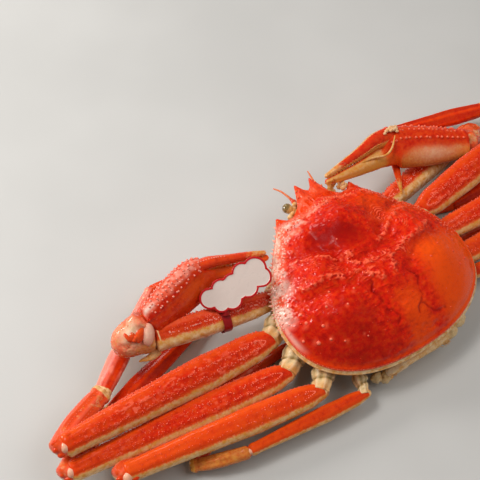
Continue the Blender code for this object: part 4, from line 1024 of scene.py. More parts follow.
# ------------------------------------------------------------------ leg pieces
def merus_piece(name, spec, front, k, seed, claw=False):
    """Long flat piece of a limb: serrated front edge, rows of tubercles on the face, ochre lower band."""
    L = Limb(spec, front)
    bumpy = {1: 1.0, 2: 0.70, 3: 0.32, 4: 0.12, 0: 1.0}[k]
    top = ease(-0.15, 0.25, L.cy)
    f, t, P = L.fx, L.T, L.P
    mm = L.S
    edge = -0.34 if claw else (-0.62, -0.62, -0.70, -0.72)[k - 1]          # where the pale lower band begins
    # short dashes that lie along the piece
    half = L.half[:, 0][:, None]
    Q = np.stack([mm * 0.42, f * half, L.cy * L.half[:, 1][:, None]], -1)
    dash = ease(0.05, 0.55, noise(Q, 0.95, seed + 7))
    patch = ease(-0.3, 0.5, fbm(P, 9.0, 2, seed + 8))
    broken = 0.35 + 0.65 * ease(-0.2, 0.4, noise(Q * [0.5, 0, 0], 1.4, seed + 6))
    d = (0.14 * bell(f - 0.28, 0.10) + 0.14 * bell(f + 0.24, 0.09)) * top * broken - 0.06 * bell(f - 0.02, 0.14) * top
    d = d - 0.12 * bell(f - edge - 0.06, 0.07) * top
    d = d + 0.22 * fbm(P, 10.0, 2, seed) + 0.07 * fbm(P * [0.4, 1, 1], 2.6, 2, seed + 3)
    g = grains(P * [0.62, 1, 1], 1.7, seed + 5)
    zone = top * ease(0.85, 0.6, f) * ease(edge - 0.1, edge + 0.16, f) * ease(0.0, 0.06, t) * ease(0.99, 0.9, t)
    d = d + bumpy * zone * (0.10 * g + 0.13 * dash)
    d = d * ease(-0.02, 0.03, t) * ease(1.02, 0.98, t)
    d = d + 0.30 * bell((1 - t) * L.length - 1.0, 1.3)
    L.push(d)

    loop = np.maximum(bell(f - 0.28, 0.07), bell(f + 0.24, 0.06)) * ease(5.0, 9.0, mm) * broken
    bend = bell(np.hypot((mm - 8.5) / 5.0, (f - 0.02) / 0.26) - 1.0, 0.24) * ease(9.0, 7.5, mm)
    loop = np.maximum(loop, bend) * top
    fade = 0.30 + 0.70 * ease(0.85, 0.35, t)
    streak = 0.5 + 0.5 * noise(P, 1.3, seed + 9)
    pink = bumpy * loop * fade * ease(0.25, 0.75, streak) * 0.8
    if k >= 3:
        pink = np.maximum(pink, 0.22 * top * bell(f - 0.15, 0.14) * fade)
    pink = np.maximum(pink, zone * bumpy * (0.25 + 0.45 * patch) * dash)
    # Pale pink along the front edge: partly the edge's own colour, partly painted highlight.
    pink = np.maximum(pink, 0.40 * top * bell(f - 0.93, 0.13))
    if claw:
        pink = np.maximum(pink, 0.55 * top * ease(0.25, 0.55, f) * (0.5 + 0.5 * streak))
        pink = np.maximum(pink, 0.55 * top * bell(f - 0.02, 0.16) * streak)
    drip = 0.04 * noise(P, 6.0, seed + 15) + (0.05 if claw else 0.02) * noise(P * [1, 0.3, 0.3], 0.9, seed + 16)
    band = ease(edge + 0.24, edge - 0.26, f + drip)
    under = ease(0.05, -0.40, L.cy)
    cream = np.maximum(band, 0.92 * under)
    near = ease(-1.2, -3.2, mm)
    far = bell(L.length - mm - 1.1, 0.45) if claw else 0.0 * mm
    cream = np.maximum(np.maximum(cream, near), far)
    dark = 0.28 * bell(f - 0.05, 0.30) * top * ease(0.75, 0.25, t) * (1 - patch) + 0.30 * bell(f - edge - 0.2, 0.10) * top * (k != 4)
    if claw:
        dark = 0.30 * top * bell(f - 0.2, 0.14) + 0.25 * top * bell(f - edge - 0.16, 0.12)
    # The ochre on the underside (0.60 * under) darkens its own cream: painted shade.
    tones = tone_array(f.shape, cream=cream, pink=pink, dark=dark * (1 - np.clip(pink, 0, 1)),
                       ochre=0.85 * band * ease(edge - 0.45, edge + 0.05, f) * ease(-0.3, 0.1, L.cy) + 0.60 * under,
                       orange=0.25 + 0.35 * ease(0.35, 0.75, f) * top + 0.30 * ease(edge + 0.35, edge, f) + 0.25 * (k >= 3) + 0.2 * ease(0.5, 1.0, t),
                       fleck=0.10, wet=0.30 + 0.3 * (k >= 3))
    heap = Heap()
    L.close(heap, tones)
    rng = np.random.default_rng(seed)
    rosy, pale = tone_array((), pink=0.8), tone_array((), pink=1.0, cream=0.25, pearl=0.10)
    # serrated front edge
    if k < 4:
        for fx, step, size in ((0.94, 2.1, 0.66), (0.82, 3.0, 0.42)):
            s = np.arange(0.04, 0.97, step / L.length)
            s = s + rng.normal(0, 0.2 * step / L.length, len(s))
            p, nn, tn = L.at(s, fx + rng.normal(0, 0.02, len(s)))
            r = size * (0.75 + 0.5 * rng.random(len(s))) * (0.5 + 0.5 * bumpy) * (1.35 if claw else 1.0)
            studs(heap, p, nn, r * 0.8, r * 1.25, 0.8, lean=tn * 0.5, base=tone_array((), pink=0.3), tip=pale)
    # raised tubercles along the two rows and between them
    if bumpy > 0.3:
        count = int(L.length * 1.1 * bumpy)
        for fx in (0.28, -0.24):
            s = 0.07 + 0.80 * rng.random(count) ** 1.25
            p, nn, tn = L.at(s, fx + rng.normal(0, 0.08, count))
            r = (0.20 + 0.26 * rng.random(count)) * (1.1 - 0.5 * s)
            studs(heap, p, nn, r, r * 0.8, 0.3, lean=tn * 0.4, base=rosy * 0.6, tip=pale, sides=6)
        s = np.linspace(0, 1, 12)
        p, nn, tn = L.at((8.5 - 5.0 * np.sin(np.pi * s)) / L.length, 0.28 - 0.52 * s)
        studs(heap, p, nn, 0.42, 0.35, 0.3, base=rosy, tip=pale, sides=6)
        count = int(L.length * 1.9 * bumpy)
        s = 0.05 + 0.92 * rng.random(count)
        p, nn, tn = L.at(s, edge + 0.1 + (0.62 - edge) * rng.random(count))
        r = 0.16 + 0.2 * rng.random(count)
        studs(heap, p, nn, r, r * 0.8, 0.3, lean=tn * 0.5, base=tone_array((), pink=0.2), tip=rosy, sides=6)
        # the row of small points above the ochre band
        s = np.arange(0.05, 0.96, 1.8 / L.length)
        p, nn, tn = L.at(s + rng.normal(0, 0.5 / L.length, len(s)), edge + 0.08 + rng.normal(0, 0.03, len(s)))
        red = tone_array((), orange=0.6, pink=0.25)
        studs(heap, p, nn, 0.28, 0.28, 0.4, lean=tn * 0.4, base=red, tip=red, sides=6)
    if claw:        # a row of white points along the middle of the claw leg's arm
        s = 0.06 + 0.88 * rng.random(60)
        p, nn, tn = L.at(s, 0.02 + rng.normal(0, 0.06, 60))
        r = 0.26 + 0.3 * rng.random(60)
        studs(heap, p, nn, r, r * 1.1, 0.5, base=rosy, tip=tone_array((), pearl=0.5, pink=1.0), sides=7)
    return heap, L, name


def elbow(heap, at, out, up, rear, size, seed, shift=0.0, both=True):
    """The pearly joint skin of a bent elbow with the red lobes of the shell round it."""
    pearl = tone_array((), cream=0.50, pink=0.55, pearl=0.30, ochre=0.1, wet=1.0)
    red = tone_array((), orange=0.45, pink=0.12, wet=0.5)

    def put(o, r, u, radii, tone, rough=0.15, turn=None):
        blob(heap, at + (out * o + rear * r + up * u) * size, np.array(radii) * size,
             [out, rear, up] if turn is None else turn, tone, rough, seed + int(o * 10), 22, 14)

    put(-0.9, 0.8 + shift, 2.6, (3.0, 3.3, 3.1), pearl)
    put(2.6, -3.5 + shift, 1.9, (2.7, 2.0, 2.4), red, 0.35)
    put(3.6, -0.2 + shift, 1.2, (2.4, 2.0, 2.8), red, 0.35)
    put(2.0, 3.3 + shift * 0.6, 1.0, (2.7, 1.8, 2.4), red, 0.35)
    if both:
        put(-4.8, -4.2 + shift, 2.8, (3.2, 1.8, 2.0), red, 0.25)
        put(-5.0, 4.4 + shift * 0.5, 1.8, (2.8, 1.5, 1.8), red, 0.25)


def leg(side, k):
    s = leg_specs(side, k)
    front = 1.0 if side == "L" else -1.0
    n = "leg%d_%s_" % (k, side)
    seed = 100 * k + (0 if side == "L" else 50)
    node = lambda p: n + p

    # base: coxa and the short pieces after it, ribbed and cream
    B = Limb(s["base"], front, 0.6)
    t = B.T
    wide = 1.6 * noise(B.P * [0.6, 0.6, 1], 5.0, seed + 3)
    pleat = np.cos(7.0 * np.arctan2(B.cy, B.fx) + wide)
    fold_a, fold_b = bell((t - 0.46) * B.length + 1.2 * B.fx, 0.8), bell((t - 0.74) * B.length - 1.4 * B.fx, 0.9)
    d = 0.32 * pleat * ease(0.05, 0.2, t) - 0.9 * fold_a - 0.9 * fold_b + 0.8 * fbm(B.P, 5.0, 3, seed + 1) + 0.7 * bell((t - 0.60) * B.length, 2.4)
    B.push(d)
    # The darker pleat hollows are painted shade; the dark joint folds are partly their own colour, partly painted
    # shade.
    tones = tone_array(t.shape, dark=np.clip(0.75 * fold_a + 0.75 * fold_b + 0.65 * ease(0.0, -0.9, pleat) * ease(0.95, 0.5, t), 0, 0.9),
                       orange=0.20 + 0.5 * fbm(B.P, 5, 2, seed + 2) + 0.4 * ease(0.80, 0.95, t), pink=0.35 * ease(0.2, 0.9, pleat), wet=0.8)
    h = Heap()
    B.close(h, tones)
    h.make(node("base_shell"), M_BODY, "shell_cream", node("base"))

    h, L, _ = merus_piece(node("merus"), s["merus"], front, k, seed + 10)
    h.make(node("merus_shell"), M_LIMB, "shell_red", node("merus"))

    # carpus: pearly joint at the elbow with red lobes, ridged salmon length, cream far end
    C = Limb(s["carpus"], front)
    t, f, P = C.T, C.fx, C.P
    upper = ease(-0.2, 0.3, C.cy)
    wave = np.cos(f * 7.5)
    d = 0.28 * wave * upper * ease(0.15, 0.3, t) + 0.16 * fbm(P, 3.0, 3, seed + 20)
    d = d + 0.4 * bell((1 - t) * C.length - 1.5, 1.2) - 0.35 * bell((1 - t) * C.length - 4.0, 1.0)
    C.push(d)
    far = ease(2.6, 1.2, (1 - t) * C.length)
    last = k == 4
    mott = ease(-0.1, 0.5, fbm(P, 3.2, 3, seed + 22))
    # On the last leg the wrist piece is browner and darker over its own orange-cream: painted shade, as that leg lies
    # in shadow beside the body.
    cream = np.maximum(far, 0.75 * ease(-0.2, -0.6, C.cy))
    cream = np.maximum(cream, 0.40 * mott) if not last else np.maximum(cream, 0.50 + 0.12 * mott)
    tones = tone_array(t.shape, cream=cream, pink=0.0 if last else 0.35 * upper * ease(0.0, 0.9, wave) + 0.30, orange=0.60, fleck=0.1 * (k < 4),
                       ochre=0.3 * far + 0.9 * last, dark=0.45 * last * (1 - mott), wet=0.5)
    h = Heap()
    C.close(h, tones)
    at = np.array(LEGS[(side, k)][2], float)
    out = unit(s["merus"]["points"][2] - s["merus"]["points"][0])
    up = unit(s["merus"]["face"])
    up = unit(up - out * up.dot(out))
    rear = np.cross(up, out) if side == "L" else np.cross(out, up)
    elbow(h, at, out, up, rear, {1: 1.0, 2: 0.95, 3: 0.9, 4: 0.6}[k], seed + 25, 2.6 if k == 3 else 0.0, k < 4)
    rng = np.random.default_rng(seed + 21)
    if k < 4:
        for fx in (0.85, 0.35, -0.45):
            q = np.arange(0.2, 0.93, 2.0 / C.length)
            p, nn, tn = C.at(q, fx + rng.normal(0, 0.03, len(q)))
            studs(h, p, nn, 0.4, 0.5, 0.6, lean=tn * 0.4, base=tone_array((), pink=0.5), tip=tone_array((), pink=1, cream=0.4), sides=6)
    h.make(node("carpus_shell"), M_LIMB, "shell_orange", node("carpus"))

    # propodus: long grooves
    R = Limb(s["propodus"], front)
    t, f, P = R.T, R.fx, R.P
    wave = np.cos(f * 6.3)
    d = 0.26 * wave * ease(0.02, 0.12, t) * ease(1.0, 0.9, t) * ease(-0.1, 0.4, np.abs(R.cy)) + 0.12 * fbm(P * [0.5, 0.5, 1], 2.5, 3, seed + 30)
    d = d + 0.3 * bell(t * R.length - 1.2, 1.0) + 0.3 * bell((1 - t) * R.length - 1.2, 1.0)
    R.push(d)
    red = k == 2 or (k == 1 and side == "R")
    lit = ease(-0.2, 0.8, wave)
    under = ease(-0.1, -0.5, R.cy)
    blotch = ease(0.1, 0.6, fbm(P, 4.0, 2, seed + 31))
    pale = k == 1 and side == "L"
    outer = ease(-0.1, -0.5, f) if pale else 0.0
    tones = tone_array(t.shape, pink=(0.10 if red else 0.50) * lit + (0.0 if red else 0.30 * blotch) + 0.5 * outer, dark=(0.45 if red else 0.0) * (1 - lit), orange=0.35,
                       cream=np.maximum(np.maximum(0.8 * under, ease(2.4, 1.2, t * R.length)), 0.5 * outer * blotch),
                       pearl=(0.0 if red else 0.18) * lit * (0.3 + 0.7 * blotch) + 0.22 * outer, fleck=0.3, wet=0.5)
    h = Heap()
    R.close(h, tones)
    h.make(node("propodus_shell"), M_LIMB, "shell_red", node("propodus"))

    # dactyl: ridged, paler towards the horny tip
    D = Limb(s["dactyl"], front, 0.45)
    t, f, P = D.T, D.fx, D.P
    wave = np.cos(f * 5.5)
    D.push(0.28 * wave * ease(1.0, 0.6, t) + 0.08 * fbm(P, 2.0, 2, seed + 40))
    tones = tone_array(t.shape, pink=0.35 * ease(0, 1, wave), orange=0.5, cream=np.maximum(0.7 * ease(0.72, 0.93, t), 0.7 * ease(-0.1, -0.6, D.cy)),
                       ochre=ease(0.7, 0.95, t), dark=0.8 * ease(0.95, 1.0, t), wet=0.4, fleck=0.4)
    h = Heap()
    D.close(h, tones)
    h.make(node("dactyl_shell"), M_LIMB, "shell_orange", node("dactyl"))


# ------------------------------------------------------------------ claws
def welt(heap, line, radius, tone, seed):
    """A thin raised line through the points."""
    W = Limb(dict(points=line, face=(0.2, 0.3, 1), rows=[(0, radius, radius), (0.2, radius * 2, radius * 2), (0.8, radius * 2, radius * 2), (1, radius, radius)],
                  power=2.0, cap0=0.3, cap1=0.3), 1.0, 0.3)
    W.push(0.12 * fbm(W.P, 2.0, 2, seed))
    W.close(heap, np.broadcast_to(tone, W.P.shape[:2] + (len(TONES),)))


def claw(side):
    s, axis, up, side_dir = claw_specs(side)
    front = 1.0 if side == "L" else -1.0
    n = "cheliped_%s_" % side
    seed = 700 if side == "L" else 760
    show = 1.0 if side == "L" else -1.0      # the palm face that looks up and back

    B = Limb(s["base"], front, 0.6)
    rib = 0.30 * np.sin(B.S * 2.0 + 1.4 * noise(B.P, 6, seed))
    B.push(rib + 0.5 * fbm(B.P, 4.0, 3, seed + 1) - 0.9 * bell((B.T - 0.45) * B.length, 0.9))
    h = Heap()
    B.close(h, tone_array(B.T.shape, dark=0.5 * bell((B.T - 0.45) * B.length, 1.2) + 0.3 * ease(0, -0.3, rib),
                          orange=0.5 + 0.3 * fbm(B.P, 5, 2, seed + 2), pink=0.2))
    h.make(n + "base_shell", M_BODY, "shell_cream", n + "base")

    h, L, _ = merus_piece(n + "merus", s["merus"], front, 0, seed + 10, claw=True)
    h.make(n + "merus_shell", M_CLAW, "shell_red", n + "merus")

    # wrist piece: cream glossy with red-orange lobes
    left = side == "L"
    C = Limb(s["carpus"], front)
    t, f, P = C.T, C.fx, C.P
    patch = fbm(P, 7.0, 2, seed + 20)
    d = 0.6 * fbm(P, 6.0, 2, seed + 21) + 0.2 * fbm(P, 2.2, 2, seed + 22) + 0.4 * ease(0.0, 0.2, patch)
    C.push(d)
    top = ease(0.0, 0.5, C.cy)
    crumb = ease(0.35, 0.8, grains(P, 1.3, seed + 26))
    if left:
        low = ease(-20, -17, P[..., 1])
        # A pale patch on top near the joint: partly the wrist's own cream, partly painted highlight.
        pale_and_glint = bell(np.hypot(P[..., 0] - 142.5, P[..., 1] + 25.0), 6.5) * top
        tones = tone_array(t.shape, pearl=0.45 * pale_and_glint * ease(0.1, 0.6, patch + 0.3), cream=0.26 + 0.22 * patch * top + 0.30 * crumb * top + 0.35 * low + 0.30 * pale_and_glint, orange=0.90,
                           pink=0.50 * top + 0.15, ochre=0.45 * low, fleck=0.1, wet=0.9, dark=0.25 * ease(-0.2, -0.6, C.cy) * (1 - low))
    else:
        tones = tone_array(t.shape, pearl=0.10 * ease(0.1, 0.5, patch), cream=0.12 + 0.45 * ease(0.05, 0.35, patch) * top + 0.2 * crumb, orange=0.60,
                           pink=0.20 + 0.25 * crumb, ochre=0.2, fleck=0.2, wet=0.8, dark=0.2 * ease(-0.1, -0.4, patch))
    h = Heap()
    C.close(h, tones)
    rng = np.random.default_rng(seed + 23)
    q = 0.12 + 0.8 * rng.random(46)
    p, nn, tn = C.at(q, turn=2 * np.pi * rng.random(46))
    studs(h, p, nn, 0.45, 0.55, 0.6, base=tone_array((), orange=0.5, pink=0.4), tip=tone_array((), cream=0.8, pink=0.5))
    pearl = tone_array((), cream=0.45, pink=0.5, pearl=0.4, wet=1.0)
    lobe = tone_array((), orange=0.4, pink=0.1, wet=0.5)
    if left:
        # side, long way and outward way of the lobes, set round the bulb of joint skin
        across, along, outward = np.array([-0.851, 0.526, 0.0]), np.array([-0.447, -0.7225, 0.529]), np.array([0.278, 0.450, 0.849])
        flame = tone_array((), orange=0.50, pink=0.22, wet=0.6)
        for at, radii, turn, tone, rough in (((133.9, -21.3, 40.7), (3.8, 6.6, 4.2), 0.0, pearl, 0.1), ((138.4, -22.5, 42.8), (2.8, 4.6, 2.6), -0.2, flame, 0.5),
                                             ((142.0, -24.3, 42.8), (2.0, 4.0, 2.4), 0.1, flame, 0.5), ((144.6, -24.8, 42.4), (1.6, 3.5, 2.2), 0.7, flame, 0.5),
                                             ((140.9, -21.9, 42.5), (1.9, 3.0, 2.2), -0.7, flame, 0.5)):
            c, sn = math.cos(turn), math.sin(turn)
            blob(h, at, radii, [across * c + along * sn, along * c - across * sn, outward], tone, rough, seed + int(at[0]), 26, 18)
        palp = Limb(dict(points=[(132.0, -15.6, 27.6), (137.2, -14.6, 26.2), (143.8, -16.0, 25.2)], face=(0, 0.5, 1),
                         rows=[(0, 6.2, 4.4), (0.5, 4.6, 3.4), (1, 1.2, 1.0)], power=2.0, cap0=0.6, cap1=0.6), 1.0, 0.35)
        palp.push(0.25 * fbm(palp.P, 3.0, 2, seed + 24))
        palp.close(h, tone_array(palp.T.shape, cream=0.9, ochre=0.4, orange=0.3, wet=0.8))
    else:
        for at, radii, tone in (((-130.6, -39.2, 22.0), (2.6, 2.2, 2.4), lobe), ((-122.4, -45.6, 29.6), (2.2, 2.0, 2.0), pearl),
                                ((-134.4, -42.6, 20.0), (2.4, 1.8, 2.2), lobe), ((-126.6, -41.0, 27.6), (2.0, 1.7, 1.8), lobe)):
            blob(h, at, radii, None, tone, 0.25, seed + int(-at[0]), 24, 15)
    h.make(n + "carpus_shell", M_CLAW, "shell_orange", n + "carpus")

    # palm with the fixed finger. cx is -1 at the upper edge and 1 at the lower.
    R = Limb(s["propodus"], 1.0)
    t, cx, cy, P = R.T, R.fx, R.cy, R.P
    palm = ease(0.52, 0.40, t)
    face = cy * show
    seen = ease(-0.3, 0.1, face)
    d = palm * seen * (0.30 * bell(cx + (0.42 if left else 0.35), 0.08) - 0.22 * bell(cx + 0.22, 0.12)) \
        + 0.16 * fbm(P, 7, 2, seed + 30) + 0.05 * fbm(P, 2, 2, seed + 31)
    fing = ease(0.55, 0.66, t)
    d = d + fing * 0.25 * np.cos(cx * 5.0) + 0.4 * bell(t * R.length - 1.5, 1.2)
    R.push(d)
    soft = noise(P, 8, seed + 32)
    dots = grains(P, 0.95, seed + 34)
    if left:
        wob = 0.06 * noise(P, 3.0, seed + 37)
        topband = ease(-0.58, -0.78, cx + wob) * ease(0.56, 0.46, t) * ease(-0.2, 0.1, face)
        grey = 0.5 + 0.5 * noise(P, 1.6, seed + 35)
        ridge = bell(cx + 0.52, 0.13) * ease(0.56, 0.46, t) * seen
        near = ease(0.30, 0.05, t) * seen
        lumps = ease(0.35, 0.85, grains(P * [0.8, 1, 1], 1.6, seed + 38))
        # The pearl streak along a short line near the wrist, on the palm's top above z 45, is a painted highlight.
        tones = tone_array(t.shape, dark=0.25 * ridge + 0.35 * palm * seen * ease(0.1, 0.5, cx) * ease(0.0, 0.6, soft),
                           pink=np.maximum(topband * (0.55 + 0.40 * grey), seen * palm * lumps * (0.30 + 0.60 * near)),
                           pearl=np.maximum(topband * ease(0.35, 0.9, grey) * 0.30, 0.80 * bell(line_distance(P, [(130.2, -29.9), (124.6, -31.6)]), 1.4) * ease(45, 48, P[..., 2])), cream=np.maximum(0.30 * fing * ease(0.2, 0.9, cx), 0.55 * ease(0.3, 0.9, -face) * palm),
                           orange=0.30 + 0.25 * (1 - topband) * (1 - near) + 0.3 * fing - 0.4 * ridge, ochre=0.35 * fing, fleck=0.15, wet=0.7)
    else:
        # red above, running further down towards the fingers; tan, grey and brown below
        line = -0.22 + 0.45 * bell(t - 0.44, 0.10) + 0.10 * soft
        low = ease(line - 0.05, line + 0.55, cx) * ease(-0.15, 0.1, face)
        low = np.maximum(low, fing * ease(-0.9, -0.5, np.abs(cx) * -1.0 + 0.1))
        lower = ease(0.30, 0.80, cx)
        stripe = fing * bell(cx + 0.15, 0.22)
        belly = low * palm * bell(np.hypot((t - 0.20) / 0.9, (cx - 0.42) * 0.35), 0.13)
        tones = tone_array(t.shape, cream=np.maximum(np.maximum(0.50 * low * palm, 0.80 * low * fing) - 0.12 * stripe, 0.8 * ease(0.0, 0.6, -face) * palm),
                           ochre=np.maximum(low * (0.55 + 0.45 * ease(0.0, 0.5, cx)) * (1 - 0.6 * belly), 0.65 * fing),
                           pink=0.30 * ease(-0.5, -0.9, cx) * (1 - low), pearl=0.22 * belly, orange=0.25 + 0.6 * low,
                           dark=0.48 * low * lower * palm + 0.20 * low * ease(0.25, 0.05, t) + 0.15 * (1 - low) * bell(cx + 0.05, 0.25) * seen,
                           fleck=0.0, wet=0.9)
    h = Heap()
    R.close(h, tones)
    rng = np.random.default_rng(seed + 33)
    bead = tone_array((), pink=1.0, cream=0.35)
    basep = tone_array((), pink=0.5)
    if left:
        rows = ((-0.99, 2.4, 1.0), (-0.88, 2.9, 0.75), (-0.52, 2.9, 0.72), (-0.70, 3.4, 0.6))
        bead = tone_array((), pink=1.0, pearl=0.4)
    else:
        rows = ((-0.97, 2.7, 1.0), (-0.78, 3.1, 0.8), (-0.35, 3.5, 1.05))
    for cxr, step, size in rows:
        q = np.arange(0.03, 0.46, step / R.length)
        top = show > 0
        p, nn, tn = R.at(q + rng.normal(0, 0.2 * step / R.length, len(q)), cxr + rng.normal(0, 0.02, len(q)), top)
        studs(h, p, nn, size, size * 1.1, 0.45, lean=tn * 0.2, base=basep, tip=bead)
        if abs(cxr) > 0.7:
            p, nn, tn = R.at(q + 0.4 * step / R.length, cxr * 0.96, not top)
            studs(h, p, nn, size * 0.9, size, 0.45, lean=tn * 0.2, base=basep, tip=bead)
    if left:     # dark pits between the tubercles of the upper face
        # The dark dots stand for the pits: painted shade of the pits.
        q = np.arange(0.05, 0.46, 2.9 / R.length)
        p, nn, tn = R.at(q + 0.01, -0.80 + rng.normal(0, 0.02, len(q)), True)
        studs(h, p, nn, 0.30, 0.14, 0.2, base=BLACK, tip=BLACK)
    if not left:     # pale end of the fixed finger
        p, nn, tn = R.at(np.array([0.985, 0.995]), np.array([-0.2, 0.3]), True)
        studs(h, p, nn, 0.9, 0.7, 0.3, base=tone_array((), cream=0.8, ochre=0.7), tip=tone_array((), cream=0.8, ochre=0.8), sides=9)
        blob(h, (-15.8, -52.0, 44.9), (2.0, 1.5, 1.6), None, tone_array((), dark=1.0, ochre=1.0, cream=0.48), 0.4, seed + 44)
    # teeth of the fixed finger, on its upper edge
    q = np.arange(0.62, 0.98, 1.9 / R.length)
    ivory = tone_array((), cream=0.8, ochre=0.5, dark=0.0 if left else 0.5)
    for turn_side in (True, False):
        p, nn, tn = R.at(q, -0.93, turn_side)
        studs(h, p, up * 1.0 + nn * 0.2, 0.5, 0.8, 0.4, base=tone_array((), ochre=0.6, orange=0.5, cream=0.3), tip=ivory, sides=7)
    if not left:     # the pale edge of the joint skin between palm and moving finger
        welt(h, [(-71.6, -60.4, 45.2), (-65.6, -55.0, 42.0), (-59.6, -53.4, 40.4), (-50.5, -55.2, 41.4), (-42, -55.6, 42.2)], 0.7,
             tone_array((), cream=0.85, ochre=0.4), seed + 36)
    h.make(n + "propodus_shell", M_CLAW, "shell_red", n + "propodus")

    D = Limb(s["dactyl"], 1.0)
    t, cx, cy, P = D.T, D.fx, D.cy, D.P
    D.push(0.22 * np.cos(cx * 4.6) * ease(0.0, 0.15, t) + 0.12 * fbm(P, 3, 2, seed + 40) + 0.4 * bell(t * D.length - 1.0, 1.0))
    outer = ease(-0.82, -0.95, cx)
    inner = ease(0.35, 0.7, cx)
    tipc = ease(0.78, 0.95, t)
    if left:
        tones = tone_array(t.shape, cream=np.maximum(0.55 * inner, 0.6 * tipc), ochre=0.5, pink=0.20 + 0.25 * outer, orange=0.35, fleck=0.3,
                           wet=0.7, dark=0.35 * bell(cx + 0.1, 0.35) * (1 - tipc))
    else:
        inner = ease(0.36, 0.70, cx)
        tones = tone_array(t.shape, cream=np.maximum(np.maximum(0.85 * outer * ease(0.1, 0.3, t), 0.8 * inner), 0.7 * tipc), ochre=0.55 * inner + 0.3,
                           pink=0.2, orange=0.25, fleck=0.2, wet=0.7, dark=0.25 * bell(cx + 0.3, 0.3) * (1 - tipc))
    h = Heap()
    D.close(h, tones)
    q = np.arange(0.24, 0.96, 1.8 / D.length)
    for turn_side in (True, False):
        p, nn, tn = D.at(q, 0.93, turn_side)
        studs(h, p, -up + nn * 0.2, 0.5, 0.8, 0.4, base=tone_array((), cream=0.5, ochre=1), tip=tone_array((), cream=0.6, ochre=1, dark=0.5), sides=7)
    if not left:     # brown teeth along the pale inner edge
        q = np.arange(0.30, 0.93, 1.7 / D.length)
        p, nn, tn = D.at(q, 0.60 + 0.05 * np.sin(np.arange(len(q)) * 2.1), show > 0)
        studs(h, p, nn - up * 0.5, 0.55, 0.8, 0.3, base=tone_array((), cream=0.7, ochre=0.9), tip=tone_array((), dark=0.9, ochre=0.6, cream=0.35), sides=7)
    q = np.arange(0.05, 0.7, 2.6 / D.length)
    p, nn, tn = D.at(q, -0.90, show > 0)
    studs(h, p, nn, 0.5, 0.55, 0.5, base=tone_array((), pink=0.6), tip=bead)
    # pale knobs of the hinge
    hinge = np.array(s["dactyl"]["points"][0], float)
    knob = tone_array((), cream=0.85, pearl=0.2, ochre=0.3, wet=0.8)
    if left:
        blob(h, hinge + up * 2.6 - axis * 1.2, (2.0, 1.8, 1.5), [axis, side_dir, up], knob, 0.4, seed + 41)
        blob(h, hinge - side_dir * show * -4.4 - up * 0.5 - axis * 0.8, (1.6, 1.2, 1.8), [axis, side_dir, up], knob, 0.3, seed + 42)
    else:
        for at, r in (((-77.6, -67.4, 43.4), 1.3), ((-75.4, -67.6, 43.8), 1.6), ((-73.2, -67.3, 44.8), 1.5), ((-71.0, -66.8, 45.4), 1.4), ((-68.8, -66.0, 45.8), 1.1),
                      ((-76.2, -65.4, 44.2), 1.3), ((-73.8, -65.4, 45.2), 1.4), ((-75.4, -63.2, 44.6), 1.0), ((-71.6, -65.0, 46.0), 1.1), ((-66.8, -65.0, 46.0), 0.9)):
            blob(h, at, (r * 1.15, r, r), None, knob, 0.55, seed + int(-at[0] * 3))
    h.make(n + "dactyl_shell", M_CLAW, "shell_orange", n + "dactyl")


# ------------------------------------------------------------------ body under the shell
BODY_LEVELS = [(STERNUM_Z, 28, -27, 40), (STERNUM_Z + 1.2, 34, -30, 45), (11, 43, -34, 51),
               (17, 53, -38, 58.8), (22, 59.2, -40.4, 61.4), (26.6, 61.2, -41.4, 62.2)]


